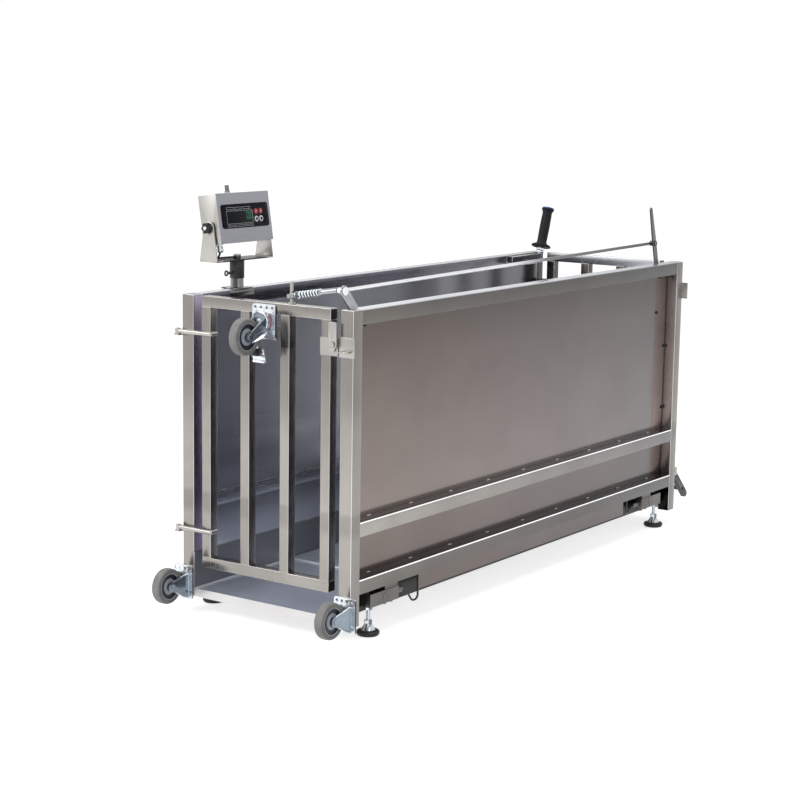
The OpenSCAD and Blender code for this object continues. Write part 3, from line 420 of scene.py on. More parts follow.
def sheet_pattern(paint):
    """Sheets: painted reflections, paler towards the bottom outside and bluish inside; a joined strip by the
    rear posts; painted shade inside the skirt.
    """
    # Painted reflection: tones by height, paler towards the bottom, darker at the top.
    tones = [(0.08, 0.78), (0.128, 0.80), (0.285, 0.84), (0.33, 1.08), (0.53, 0.97), (0.73, 0.78)]
    outer = paint.product(paint.color, by_height(paint, tones + [(0.862, 0.54)]))
    rear = FRONT_Y + LENGTH - TUBE * MM
    brown, cool, strip, gap = (1.06, 1.02, 0.98), (0.94, 0.99, 1.05), (1.72, 1.52, 1.50), grey(0.10)
    joint = [(FRONT_Y, brown), (rear - 0.066, cool), (rear - 0.0655, grey(0.75)), (rear - 0.064, strip)]
    joint += [(rear - 0.003, grey(1.0)), (rear - 0.0026, gap), (rear, gap)]
    outer = paint.product(outer, paint.bands(paint.axis("Y"), joint))
    across = paint.axis("X", MIDDLE_X)
    # Painted shade on the inner face of the skirt.
    skirt = paint.choose(across, (SIDE - 1) * MM, grey(0.16), outer)
    # Inner faces take the painted reflections of inside().
    sheet = paint.choose(across, (SHEET_X - 0.7) * MM, inside(paint), outer)
    return paint.choose(paint.axis("Z"), 0.14, skirt, sheet)


def floor_pattern(paint):
    """Floor: painted bright reflections on the lips at both ends, painted shade on the sides outside and the
    underside.
    """
    side_in, side_out, under, deck = 0.2519, 0.2546, 0.0625, 0.0655
    across = paint.axis("X", MIDDLE_X)
    # Painted shade: darkened reflections on the upturned sides inside, near black outside, grey underneath.
    flat = paint.choose(across, side_in, paint.color, paint.product(inside(paint), grey(0.3)))
    flat = paint.choose(across, side_out, flat, grey(0.03))
    flat = paint.choose(paint.axis("Z"), under, grey(0.3), flat)
    # Painted reflection: bright lips at both ends.
    ends = paint.choose(paint.axis("Z"), deck, (0.67, 0.655, 0.66), flat)
    middle = FRONT_Y + LENGTH / 2
    return paint.choose(paint.axis("Y", middle), LENGTH / 2 - 0.0005, flat, ends)


def rod_pattern(paint):
    """Rod: a painted bright reflection in front, painted dark towards the rear."""
    # Painted reflection tones along the crate.
    tones = ((0, 1.0), (0.46, 1.0), (0.56, 0.25), (1, 0.12))
    return by_length(paint, [(share, times(paint.color, tone)) for share, tone in tones])


def case_pattern(paint):
    """Indicator case: its two ends are paler than its face, the stub on top is dark."""
    walls = paint.choose(paint.axis("Y", TILT_AXIS.y), 0.1146, paint.color, finishes().bracket)
    return paint.choose(paint.axis("Z"), 1.1725, walls, finishes().dark_steel)


def stub_pattern(paint):
    """Mast: polished tube with upright dark and bright reflections."""
    tones = ((-32, 0.9), (-18, 0.35), (-10, 2.6), (-4, 2.2), (2, 0.7), (12, 0.5), (19, 1.5))
    stops = [(MIDDLE_X + (MAST[0] + x) * MM, times(paint.color, tone)) for x, tone in tones]
    return paint.bands(paint.axis("X"), stops)


def fork_pattern(paint):
    """Fixed casters: bright plates with painted shade on one edge, legs in painted shade in front of them."""
    plate, half_plate = paint.color, 36
    for caster in (RIGHT_CASTER, LEFT_CASTER):
        edge = paint.axis("X", MIDDLE_X + (caster + half_plate) * MM)
        # Painted shade: a near-black line on each plate's edge.
        plate = paint.choose(edge, 0.0009, grey(0.03), plate)
    return paint.choose(paint.axis("Y"), FRONT_Y - 0.0046, finishes().fork, plate)


def plate_pattern(paint):
    """Swivel caster: bright plate with painted shade on one edge, mounting bar behind it in painted shade."""
    half_plate = 0.04
    # Painted shade on the plate's edge and on the mounting bar behind it.
    plate = paint.choose(paint.axis("X", MIDDLE_X + half_plate), 0.0009, grey(0.03), paint.color)
    return paint.choose(paint.axis("X", MIDDLE_X), half_plate + 0.0005, plate, (0.15, 0.135, 0.14))


def bracket_pattern(paint):
    """Indicator bracket: the base mirrors the dark underside of the case."""
    base = paint.choose(paint.axis("Z"), (BASE_TOP + 9) * MM, grey(0.06), paint.color)
    return paint.choose(paint.axis("Y", TILT_AXIS.y), 0.095, base, paint.color)


def foot_pattern(paint):
    """Levelling feet: polished, with upright dark and bright reflections."""
    tones = ((243, 0.05), (266, 0.08), (270, 1.1), (281, 1.0), (284, 0.15), (288, 0.9), (307, 0.5))
    stops = [(x * MM, times(paint.color, tone)) for x, tone in tones]
    return paint.bands(paint.axis("X", MIDDLE_X), stops)


def brushed(name, color, roughness, grain, tone=0.10, pattern=None, relief=0.25, metallic=1.0):
    """Stainless steel with grinding marks along the axis where grain is small."""
    most_spread, depth = 0.09, 0.00012
    paint = Paint(name, color, metallic, roughness)
    streaks = paint.noise(1.0, grain, 4.0, 0.6)
    clouds = paint.noise(6.0)
    if pattern:
        paint.coat(pattern(paint), clouds, 1 - tone, 1 + tone)
    else:
        paint.tones(clouds, 1 - tone, 1 + tone)
    paint.gloss(streaks, min(most_spread, relief))
    paint.bump(streaks, relief, depth)


def plated(name, color, roughness, pattern=None):
    """Zinc plating with a faint spangle."""
    paint = Paint(name, color, 0.9, roughness)
    if pattern:
        paint.coat(pattern(paint), paint.cells(240), 0.96, 1.04)
    else:
        paint.tones(paint.cells(240), 0.96, 1.04, 0.1, 0.9)
    grain = paint.noise(380)
    paint.gloss(grain, 0.05)
    paint.bump(grain, 0.08, 0.0001)


def moulded(name, color, roughness, relief=0.3, scale=900, shine=0.4):
    """Rubber or plastic with a fine moulded skin and a little dust."""
    paint = Paint(name, color, 0.0, roughness)
    paint.shader.inputs["Specular IOR Level"].default_value = shine
    skin = paint.noise(scale, detail=2.0)
    paint.tones(paint.noise(26), 0.86, 1.16)
    paint.gloss(skin, 0.06)
    paint.bump(skin, relief, 0.00015)


def lit(name, color, strength):
    """Glowing digits."""
    paint = Paint(name, color, 0.0, 0.4)
    paint.shader.inputs["Emission Color"].default_value = (*color, 1)
    paint.shader.inputs["Emission Strength"].default_value = strength
    paint.tones(paint.noise(300), 0.9, 1.1)


# Noise cells per metre along each axis: few along the grinding marks, many across them.
LONG_GRAIN = (900, 9, 900)
UPRIGHT_GRAIN = (900, 900, 9)
ROLLED_GRAIN = (260, 5, 260)
BAR_GRAIN = (700, 30, 700)
CELL_GRAIN = (600, 30, 600)
CASE_GRAIN = (900, 12, 900)
FITTING_GRAIN = (500, 500, 40)


def make_materials():
    """All finishes, once."""
    f = finishes()
    brushed("tube_upright", f.tube, 0.24, UPRIGHT_GRAIN, 0.10, gate_pattern)
    brushed("tube_rear", f.tube, 0.24, UPRIGHT_GRAIN, 0.10, rear_gate_pattern, 0.04)
    brushed("post", f.tube, 0.24, UPRIGHT_GRAIN, 0.10, post_pattern)
    brushed("tube_long", f.tube, 0.24, LONG_GRAIN, 0.08, rail_pattern)
    # Painted highlights: bright materials for the rounded edges of tubes and rails.
    brushed("edge", f.edge, 0.22, UPRIGHT_GRAIN, 0.04)
    brushed("rail_edge_highlight", (0.95, 0.95, 0.96), 0.22, LONG_GRAIN, 0.04)
    brushed("sheet", f.sheet, 0.17, ROLLED_GRAIN, 0.05, sheet_pattern, 0.015)
    brushed("floor", f.floor, 0.30, LONG_GRAIN, 0.06, floor_pattern, 0.015, 0.75)
    brushed("fitting", f.fitting, 0.28, FITTING_GRAIN)
    brushed("linkage", (0.36, 0.37, 0.39), 0.22, BAR_GRAIN)
    brushed("rod", (0.80, 0.81, 0.83), 0.2, BAR_GRAIN, 0.05, rod_pattern, 0.1)
    brushed("black_steel", (0.05, 0.049, 0.053), 0.24, BAR_GRAIN)
    brushed("dark_steel", f.dark_steel, 0.3, BAR_GRAIN)
    brushed("stub", f.dark_steel, 0.2, UPRIGHT_GRAIN, 0.05, stub_pattern, 0.1)
    brushed("case", f.case, 0.33, CASE_GRAIN, 0.06, case_pattern, 0.12)
    brushed("bracket", f.bracket, 0.36, CASE_GRAIN, 0.05, bracket_pattern, 0.1)
    brushed("cell", f.cell, 0.38, CELL_GRAIN)
    plated("zinc", f.zinc, 0.24)
    # Painted shade: the forks' zinc is a darker copy for legs in shade.
    plated("zinc_fork_shade", f.fork, 0.26)
    plated("zinc_caster", f.zinc, 0.26, fork_pattern)
    plated("zinc_plate", f.zinc, 0.26, plate_pattern)
    plated("chrome", f.zinc, 0.12)
    plated("foot_chrome", f.zinc, 0.12, foot_pattern)
    # Painted highlight: white for the bright lines along the floor's edges.
    plated("white_seam", (0.92, 0.92, 0.93), 0.4)
    plated("weld", f.fitting, 0.42)
    moulded("tyre", f.tyre, 0.62)
    moulded("tyre_side_shade", f.tyre_side_shade, 0.62)
    moulded("hub", f.hub, 0.5)
    moulded("hub_ring", f.hub_ring, 0.45)
    moulded("rubber", f.rubber, 0.5)
    moulded("grip", f.grip, 0.55, 0.4, 700, 0.15)
    moulded("cable", f.rubber, 0.28, 0.2, 900, 0.6)
    moulded("knob", f.rubber, 0.38, 0.25, 900, 0.3)
    moulded("sleeve", (0.040, 0.042, 0.046), 0.42, 0.3)
    moulded("panel", f.panel, 0.22, 0.1, 900, 0.08)
    moulded("panel_lines", (0.42, 0.43, 0.45), 0.4, 0.1)
    moulded("glass", (0.005, 0.007, 0.010), 0.08, 0.02, 900, 0.1)
    lit("digits", f.digits, 0.9)
    moulded("red_key", f.red_key, 0.35, 0.1)
    moulded("red_mark", (0.42, 0.10, 0.11), 0.5, 0.1)
    moulded("white_key", (0.72, 0.74, 0.76), 0.4, 0.1)
    moulded("board", (0.03, 0.14, 0.06), 0.5)
    moulded("grip_cap", f.grip_cap, 0.4, 0.2)
    moulded("bail", f.bail, 0.4, 0.4, 500)


# Modelling helpers


def pick_none():
    """Nothing selected, object mode."""
    if bpy.context.object and bpy.context.object.mode != "OBJECT":
        bpy.ops.object.mode_set(mode="OBJECT")
    bpy.ops.object.select_all(action="DESELECT")


def pick(obj):
    """Only obj selected and active."""
    pick_none()
    obj.select_set(True)
    bpy.context.view_layer.objects.active = obj


def edit_all(obj, kind="VERT"):
    """Edit mode on obj with everything selected."""
    pick(obj)
    bpy.ops.object.mode_set(mode="EDIT")
    bpy.ops.mesh.select_mode(type=kind)
    bpy.ops.mesh.select_all(action="SELECT")


def leave_edit():
    bpy.ops.object.mode_set(mode="OBJECT")


def moved(obj, matrix):
    """Moves the mesh, so that the object stays at the origin."""
    obj.data.transform(matrix)
    obj.data.update()
    return obj


def smooth(obj, angle=40):
    pick(obj)
    bpy.ops.object.shade_smooth_by_angle(angle=math.radians(angle))
    return obj


def along(start, direction):
    """Matrix that takes +Z to direction and the origin to start."""
    turn = Vector((0, 0, 1)).rotation_difference(Vector(direction).normalized())
    return Matrix.Translation(start) @ turn.to_matrix().to_4x4()


def case_frame():
    """Matrix of the tilted indicator case, X out of its face."""
    return Matrix.Translation(TILT_AXIS) @ Matrix.Rotation(-TILT_BACK, 4, "Y")


def turned(name, profile, ring=False, steps=None):
    """A turned piece round Z: profile is (radius, height) in millimetres; a ring closes on itself."""
    steps = steps or sizes().round_steps
    pick_none()
    radius, height = profile[0]
    fill = "NOTHING" if ring else "NGON"
    bpy.ops.mesh.primitive_circle_add(vertices=steps, radius=radius * MM, fill_type=fill)
    obj = bpy.context.object
    obj.name = name
    moved(obj, Matrix.Translation((0, 0, height * MM)))
    edit_all(obj, "EDGE" if ring else "FACE")
    for r, h in profile[1:] + (profile[:1] if ring else []):
        if ring:
            bpy.ops.mesh.extrude_edges_move()
        else:
            bpy.ops.mesh.extrude_region()
        bpy.ops.transform.translate(value=(0, 0, (h - height) * MM))
        bpy.ops.transform.resize(value=(r / radius, r / radius, 1), center_override=(0, 0, h * MM))
        radius, height = r, h
    bpy.ops.mesh.select_all(action="SELECT")
    bpy.ops.mesh.remove_doubles(threshold=0.00001)
    bpy.ops.mesh.normals_make_consistent(inside=False)
    leave_edit()
    return smooth(obj)


def hexagon(name, profile, ring=False):
    """A six-sided nut round Z with flat sides."""
    return smooth(turned(name, profile, ring, 6), 20)


def block(name, low, high, edge, steps=2):
    """A box between two corners in millimetres with rounded edges."""
    pick_none()
    bpy.ops.mesh.primitive_cube_add(size=1)
    obj = bpy.context.object
    obj.name = name
    low, high = Vector(low) * MM, Vector(high) * MM
    span = high - low
    moved(obj, Matrix.Translation((low + high) / 2) @ Matrix.Diagonal((*span, 1)))
    if edge:
        edit_all(obj, "EDGE")
        bpy.ops.mesh.bevel(offset=edge * MM, segments=steps, affect="EDGES", clamp_overlap=True)
        leave_edit()
    return smooth(obj)


def wire(name, points, radius, sides=10, cyclic=False):
    """A round wire through points in metres, made a mesh with closed ends."""
    curve = bpy.data.curves.new(name, "CURVE")
    curve.dimensions = "3D"
    curve.bevel_depth = radius
    curve.bevel_resolution = max(0, sides // 4 - 1)
    curve.use_fill_caps = not cyclic
    spline = curve.splines.new("POLY")
    spline.points.add(len(points) - 1)
    for target, p in zip(spline.points, points):
        target.co = (*p, 1)
    spline.use_cyclic_u = cyclic
    obj = bpy.data.objects.new(name, curve)
    bpy.context.scene.collection.objects.link(obj)
    pick(obj)
    bpy.ops.object.convert(target="MESH")
    return smooth(bpy.context.object, 60)


def joined(name, parts):
    """One object from several."""
    pick_none()
    for part in parts:
        part.select_set(True)
    bpy.context.view_layer.objects.active = parts[0]
    if len(parts) > 1:
        bpy.ops.object.join()
    obj = bpy.context.view_layer.objects.active
    obj.name = name
    return obj


def copied(obj, matrix):
    """A copy with its own mesh, moved by matrix."""
    twin = obj.copy()
    twin.data = obj.data.copy()
    bpy.context.scene.collection.objects.link(twin)
    return moved(twin, matrix)


def coated(obj, *materials):
    """Gives a mesh its finishes."""
    obj.data.materials.clear()
    for material in materials:
        obj.data.materials.append(MATERIALS[material])
    return obj


def dress(obj, material, body, slot, *nodes):
    """Material, body and replaced nodes of a piece."""
    return fixed(coated(obj, material), body, slot, *nodes)


def fixed(obj, body, slot, *nodes):
    """Body and replaced nodes of a piece that has its finish; its slot is not used."""
    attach(obj, body)
    if nodes:
        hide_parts(*nodes)
    return obj


def body_of(node):
    for body, members in frame["record"]["behaviour"]["bodies"].items():
        if node in members:
            return body
    raise ValueError("no body holds " + node)


def slot_of(node):
    for part in frame["record"]["subparts"]:
        if part["node"] == node:
            return part["material_slot"]
    raise ValueError("no slot for " + node)


# Pieces

NODE_FINISH = {
    "floor": ("floor_tray", "floor_plate", "cross_members"),
    "sheet": ("side_sheets",),
    "fitting": ("front_fittings", "rear_fittings"),
    "cell": ("cell_spacers",),
    "dark_steel": ("eye_screw",),
    "rod": ("rod",),
    "linkage": ("strut_ball", "strut", "pull_handle"),
    "board": ("board",),
}

# Painted highlight on the rounded edges, by kind of node.
EDGE_HIGHLIGHT = {"tube": ["edge"], "square": ["edge"], "rail": ["rail_edge_highlight"]}

# Nodes that get rounded edges: finish and kind.
EDGED = {
    "posts": ("post", "tube"),
    "side_rails": ("tube_long", "rail"),
    "front_frame": ("tube_upright", "tube"),
    "rear_frame": ("tube_rear", "tube"),
    "keepers": ("fitting", "plate"),
    "front_tongue": ("fitting", "plate"),
    "rear_tongue": ("fitting", "plate"),
    "fixed_forks": ("zinc_caster", "plate"),
    "sw_plate": ("zinc_plate", "plate"),
    "sw_brake": ("zinc", "plate"),
    "lever": ("dark_steel", "plate"),
    "link": ("linkage", "plate"),
    "mast_base": ("stub", "plate"),
    "guide_tube": ("black_steel", "square"),
    "bracket": ("bracket", "plate"),
    "case": ("case", "case"),
    "panel": ("panel", "plate"),
    "knob_front": ("knob", "knob"),
    "knob_rear": ("knob", "knob"),
    "lift_bail": ("bail", "plate"),
    "load_cells": ("cell", "plate"),
    "cell_bolts": ("cell", "plate"),
    "sw_fork": ("zinc_fork_shade", "plate"),
    "hinge_pins": ("fitting", "plate"),
    "bail_clevises": ("fitting", "plate"),
    "rail_pivots": ("fitting", "plate"),
    "mast_sleeve": ("sleeve", "plate"),
    "junction_box": ("sleeve", "case"),
}


class Step:
    """What the operators share: make() models the pieces."""

    def execute(self, context):
        self.make()
        return {"FINISHED"}


class CRATE_OT_finish_nodes(Step, bpy.types.Operator):
    """Give the CAD nodes that stay their finishes."""

    bl_idname = "crate.finish_nodes"
    bl_label = "Finish the plain nodes"

    def make(self):
        make_materials()
        for finish, nodes in NODE_FINISH.items():
            for node in nodes:
                coated(NODES[node], finish)


class CRATE_OT_rounded_steel(Step, bpy.types.Operator):
    """Round the edges of tubes, plates, knobs and cases."""

    bl_idname = "crate.rounded_steel"
    bl_label = "Round tubes and plates"

    def make(self):
        corner, edge = sizes().tube_corner, sizes().plate_edge
        edges = {
            "tube": (corner, 3),
            "rail": (corner * 1.3, 3),
            "square": (edge * 1.6, 2),
            "plate": (edge, 2),
            "case": (0.0022, 3),
            "knob": (0.0012, 2),
        }
        for node, (finish, kind) in EDGED.items():
            obj = self.bare_copy(node)
            bright = EDGE_HIGHLIGHT.get(kind, [])
            coated(obj, finish, *bright)
            bevel = obj.modifiers.new("edges", "BEVEL")
            # The bevel faces take the painted highlight where the kind of node has one.
            bevel.material = 1 if bright else -1
            bevel.width, bevel.segments = edges[kind]
            bevel.limit_method = "ANGLE"
            bevel.angle_limit = math.radians(40)
            bevel.harden_normals = False
            bpy.ops.object.modifier_apply(modifier=bevel.name)
            smooth(obj, 30)
            fixed(obj, body_of(node), slot_of(node), node)

    @staticmethod
    def bare_copy(node):
        """A copy of a node's mesh without its tags, each flat face in one piece."""
        obj = copied(NODES[node], Matrix.Identity(4))
        obj.name = node + "_rounded"
        for key in list(obj.keys()):
            del obj[key]
        obj.parent = None
        edit_all(obj)
        bpy.ops.mesh.remove_doubles(threshold=0.000002)
        bpy.ops.mesh.dissolve_limited(angle_limit=math.radians(1))
        leave_edit()
        return obj


class CRATE_OT_wheels(Step, bpy.types.Operator):
    """Turn the tyres, hubs, rims and bosses of the wheels."""

    bl_idname = "crate.wheels"
    bl_label = "Wheels"

    def make(self):
        tyre_half = [(37.3, 12.5), (39, 13.8), (42, 14.9), (43, 14.4), (44, 14.9), (46.4, 14.2)]
        tyre_half += [(48.7, 12.3), (50.0, 8.8), (50.4, 4.5)]
        tyre_ring = tyre_half + [(50.48, 0)] + [(r, -h) for r, h in reversed(tyre_half)]
        hub_half = [(5.3, 15.4), (11, 15.4), (11.4, 15), (11.6, 9.4), (24, 9), (33.5, 9.4)]
        hub_half += [(34.2, 12), (36.9, 12)]
        hub_ring = hub_half + [(r, -h) for r, h in reversed(hub_half)]
        outer_rim = [(35.2, 12), (35.6, 13.2), (37.4, 13.2), (37.6, 12)]
        inner_rim = [(11.8, 9.3), (12.4, 12.4), (22, 11.4), (23, 9)]
        boss = [(5.4, 15.4), (9.6, 15.4), (9.6, 16.6), (8.8, 17.2), (5.4, 17.2)]
        for key, (centre, body, tyre_node, hub_node) in WHEELS.items():
            turn = along(centre, (1, 0, 0))
            tyre = moved(turned("tyre_" + key + "_rubber", tyre_ring, True, 96), turn)
            coated(tyre, "tyre", "tyre_side_shade")
            # Painted shade: faces turned sideways get the darker tyre-side rubber.
            for face in tyre.data.polygons:
                sideways = abs(face.normal.x) > 0.6
                face.material_index = 1 if sideways else 0
            fixed(tyre, body, "tyre", tyre_node)
            hub = moved(turned("hub_" + key + "_body", hub_ring, True), turn)
            dress(hub, "hub", body, "hub", hub_node)
            rings, bosses = [], []
            for side in (1, -1):
                for profile in (outer_rim, inner_rim):
                    rings.append(moved(turned("rim", [(r, h * side) for r, h in profile], True), turn))
                bosses.append(moved(turned("boss", [(r, h * side) for r, h in boss], True, 32), turn))
            dress(joined("hub_" + key + "_rings", rings), "hub_ring", body, "hub")
            dress(joined("hub_" + key + "_bosses", bosses), "zinc", body, "hub")


class CRATE_OT_fork_lips(Step, bpy.types.Operator):
    """Give the stamped fork legs their turned-out lips and bright rolled top edges."""

    bl_idname = "crate.fork_lips"
    bl_label = "Fork lips"

    # Half the width over the legs in millimetres.
    HALF_FORK = 19.5
    # Radius of the rolled edge, then width and thickness of the lip, in metres.
    ROLL = 0.0021
    LIP = 0.0085
    THICK = 0.002

    def make(self):
        rigid = {"low": ((-5, 37), (-62, 63)), "top": ((-5, 104.5), (-70, 93.4))}
        swivel = {"low": ((-17, 824), (-80, 797)), "top": ((-13, 866), (-84, 826.5))}
        for name, x, body, edges in (
            ("right", RIGHT_CASTER, "crate", rigid),
            ("left", LEFT_CASTER, "crate", rigid),
            ("swivel", 0, "swivel", swivel),
        ):
            lips = []
            for leg in (x + self.HALF_FORK, x - self.HALF_FORK):
                lips.append(self.lip(leg, 1 if leg > x else -1, *edges["low"]))
                ends = [place(leg, y, z) for y, z in edges["top"]]
                lips.append(wire("rolled_edge", ends, self.ROLL, 8))
            dress(joined("fork_" + name + "_lips", lips), "zinc", body, "zinc")

    @classmethod
    def lip(cls, x, side, start, end):
        """A thin strip along the lower edge of a leg, turned outwards and bowed in the middle."""
        a, b = (place(x, y, z) for y, z in (start, end))
        pick_none()
        bpy.ops.mesh.primitive_grid_add(x_subdivisions=2, y_subdivisions=12, size=1)
        obj = bpy.context.object
        out = Vector((side * 0.8, 0, -0.6))
        for v in obj.data.vertices:
            t = v.co.y + 0.5
            reach = (v.co.x + 0.5) * cls.LIP * math.sin(math.pi * min(1, 0.12 + 0.9 * t))
            v.co = a.lerp(b, t) + out * reach
        edit_all(obj)
        bpy.ops.mesh.normals_make_consistent(inside=False)
        leave_edit()
        skin = obj.modifiers.new("skin", "SOLIDIFY")
        skin.thickness = cls.THICK
        skin.offset = 0
        pick(obj)
        bpy.ops.object.modifier_apply(modifier=skin.name)
        return smooth(obj, 50)


class CRATE_OT_feet(Step, bpy.types.Operator):
    """Model the levelling feet: rubber pad, plated cone, nuts and threaded stud."""

    bl_idname = "crate.feet"
    bl_label = "Levelling feet"

    def make(self):
        pad = [(28.5, 0), (29, 0.6), (30, 3), (31.6, 3.6), (32, 5), (32, 9), (30.8, 12), (28, 13.6), (21, 14)]
        cone = [(19.6, 14), (20, 15.2), (18.8, 17), (12.4, 27), (9.8, 32), (8, 32.4)]
        for key, (x, y) in FEET.items():
            spot = Matrix.Translation(place(x, y, 0))
            body = "leg_" + key
            rubber = moved(turned("foot_" + key + "_pad", pad), spot)
            dress(rubber, "rubber", body, "foot_steel", "foot_" + key)
            parts = [turned("cone", cone)]
            for low, high in ((32, 42), (69.5, 78.4)):
                nut = [(9.2, low), (11, low + 0.9), (11, high - 0.9), (9.2, high)]
                parts.append(hexagon("nut", nut))
            parts.append(turned("stud", self.thread(42, 112), steps=24))
            steel = moved(joined("foot_" + key + "_steel", parts), spot)
            dress(steel, "foot_chrome", body, "foot_steel")

    @staticmethod
    def thread(low, high, pitch=1.75):
        """Profile of a threaded stud."""
        profile = [(5.4, low)]
        z = low + 0.4
        while z + pitch < high:
            profile += [(5.95, z + 0.5), (5.95, z + 0.75), (5.25, z + 1.25), (5.25, z + 1.5)]
            z += pitch
        return profile + [(5.2, high)]


class CRATE_OT_indicator(Step, bpy.types.Operator):
    """Dress the weight indicator: display glass, lines, digits, keys, gland and nuts of the knobs."""

    bl_idname = "crate.indicator"
    bl_label = "Weight indicator"

    def make(self):
        tilt = case_frame()
        glass = block("display_glass", (PANEL_FACE, -82, 5), (GLASS_FACE, 30, 40), 0.3)
        dress(moved(glass, tilt), "glass", "indicator", "panel_black")
        lines = self.outline(-83, 31, 4, 41)
        for left in (-82, -46, -10):
            lines += self.outline(left, left + 31, 44, 51)
        for left in (-82, -59, -36, -13, 10):
            lines += self.outline(left, left + 19, -4.5, 1)
        dress(moved(joined("panel_lines", lines), tilt), "panel_lines", "indicator", "panel_black")
        bars = self.zero(3, 16) + self.zero(18, 16)
        bars.append(block("point", (GLASS_FACE, 15, 16), (GLASS_FACE + 0.2, 16.6, 17.6), 0))
        dress(moved(joined("display_digits", bars), tilt), "digits", "indicator", "panel_black")
        spots = {"a": (45.5, 35.5), "b": (66, 35.5), "c": (45.5, 14), "d": (66, 14)}
        for key, (y, z) in spots.items():
            self.cap(key, y, z, tilt)
        self.fittings(tilt)

    @staticmethod
    def outline(y0, y1, z0, z1):
        """Four thin strips round a field of the panel."""
        x0, x1, w = PANEL_FACE, PANEL_FACE + 0.45, 1.1
        return [
            block("line", (x0, y0, z1 - w), (x1, y1, z1), 0.15, 1),
            block("line", (x0, y0, z0), (x1, y1, z0 + w), 0.15, 1),
            block("line", (x0, y0, z0 + w), (x1, y0 + w, z1 - w), 0.15, 1),
            block("line", (x0, y1 - w, z0 + w), (x1, y1, z1 - w), 0.15, 1),
        ]

    @staticmethod
    def fittings(tilt):
        """Gland under the case, and dome nuts in the knobs."""
        down = tilt @ along(Vector((0, -86, -48)) * MM, (0, 0, -1))
        nut_profile = [(9.2, 0), (11.5, 0.8), (11.5, 4.6), (10.4, 5.4), (9.2, 5.4)]
        nut = hexagon("gland_nut", nut_profile, True)
        profile = [(9.1, 5.4), (10, 6), (10, 10), (9.3, 11), (9.3, 13), (10, 14), (10, 19), (8.4, 22)]
        dome = turned("gland_dome", profile + [(6, 23.6), (4.6, 23.6), (4.6, 5.4)], True)
        dress(moved(joined("case_gland", [nut, dome]), down), "chrome", "indicator", "case_steel")
        for side, body in ((-1, "front_knob"), (1, "rear_knob")):
            out = tilt @ along(Vector((0, side * 136.6, 0)) * MM, (0, side, 0))
            cap = [(5.6, 0), (5.6, 2.6), (4.6, 4.6), (2.6, 5.8), (0.8, 6.1)]
            dress(moved(turned(body + "_nut", cap, steps=24), out), "chrome", body, "knob_black")

    @staticmethod
    def zero(left, low):
        """Bars of a seven-segment zero, left and low in millimetres on the face."""
        wide, tall, thick, gap = 11, 21, 2.4, 0.6
        right, top, mid = left + wide, low + tall, low + tall / 2
        bars = (
            (left + 1, top - thick, right - 1, top),
            (right - thick, mid + gap, right, top - 1),
            (right - thick, low + 1, right, mid - gap),
            (left + 1, low, right - 1, low + thick),
            (left, low + 1, left + thick, mid - gap),
            (left, mid + gap, left + thick, top - 1),
        )
        x0, x1 = GLASS_FACE, GLASS_FACE + 0.2
        return [block("bar", (x0, y0, z0), (x1, y1, z1), 0.12, 1) for y0, z0, y1, z1 in bars]

    @staticmethod
    def cap(key, y, z, tilt):
        """One foil key with a domed cap and a ring."""
        low = CASE_FACE + 1.2
        top = PANEL_FACE + 1.5
        dome = [(8.4, low), (8.4, top - 0.7), (7.9, top - 0.2), (6, top), (2, top + 0.05)]
        spot = tilt @ along(Vector((0, y * MM, z * MM)), (1, 0, 0))
        body = "key_" + key
        red = key in "ab"
        finish, slot = ("red_key", "key_red") if red else ("white_key", "key_white")
        dress(moved(turned("key_" + key + "_cap", dome), spot), finish, body, slot, "button_" + key)
        wide = 2.4 if red else 4.4
        inner = [(0.6, top + 0.04), (wide, top + 0.04), (wide, top + 0.25), (0.6, top + 0.25)]
        mark = moved(turned("key_" + key + "_mark", inner, True, 32), spot)
        dress(mark, "white_key" if red else "panel", body, slot)


class CRATE_OT_grip(Step, bpy.types.Operator):
    """Model the ribbed rubber grip with its blue cap."""

    bl_idname = "crate.grip"
    bl_label = "Pull handle grip"

    def make(self):
        spot = along(GRIP_ROOT, (0, math.sin(GRIP_LEAN), math.cos(GRIP_LEAN)))
        sleeve = [(9.2, 34), (31, 34), (33.6, 35), (34, 37), (33.6, 40), (30, 42.5), (22, 45.5)]
        sleeve += [(18.6, 48), (17.6, 52)]
        first, last, pitch = 56, 150, 6
        z = first
        while z < last:
            swell = 0.8 * math.sin(math.pi * (z - first) / (last - first))
            sleeve += [(17 + swell, z), (17 + swell, z + 3.4), (16.5 + swell, z + 4), (16.5 + swell, z + 5.2)]
            z += pitch
        sleeve += [(16.8, 157), (17.6, 161), (20.4, 166), (22, 168.4), (22, 170.2), (21, 170.6), (9.2, 170.6)]
        rubber = moved(turned("grip_rubber", sleeve, True), spot)
        dress(rubber, "grip", "handle", "grip_rubber", "grip")
        cap = [(9, 170.7), (20.4, 170.7), (21.4, 171.6), (21.4, 174.4), (20, 175.8), (12, 175.4), (4, 175)]
        dress(moved(turned("grip_end_cap", cap), spot), "grip_cap", "handle", "grip_rubber")
        collar = [(9.2, 12.6), (13, 12.6), (13.6, 13.4), (13.6, 20), (12.8, 21), (9.2, 21)]
        nut = hexagon("nut", [(9.2, 21.2), (15, 22), (15, 29), (13.6, 30), (9.2, 30)], True)
        steel = joined("grip_fixings", [turned("collar", collar, True), nut])
        dress(moved(steel, spot), "chrome", "handle", "link_steel")


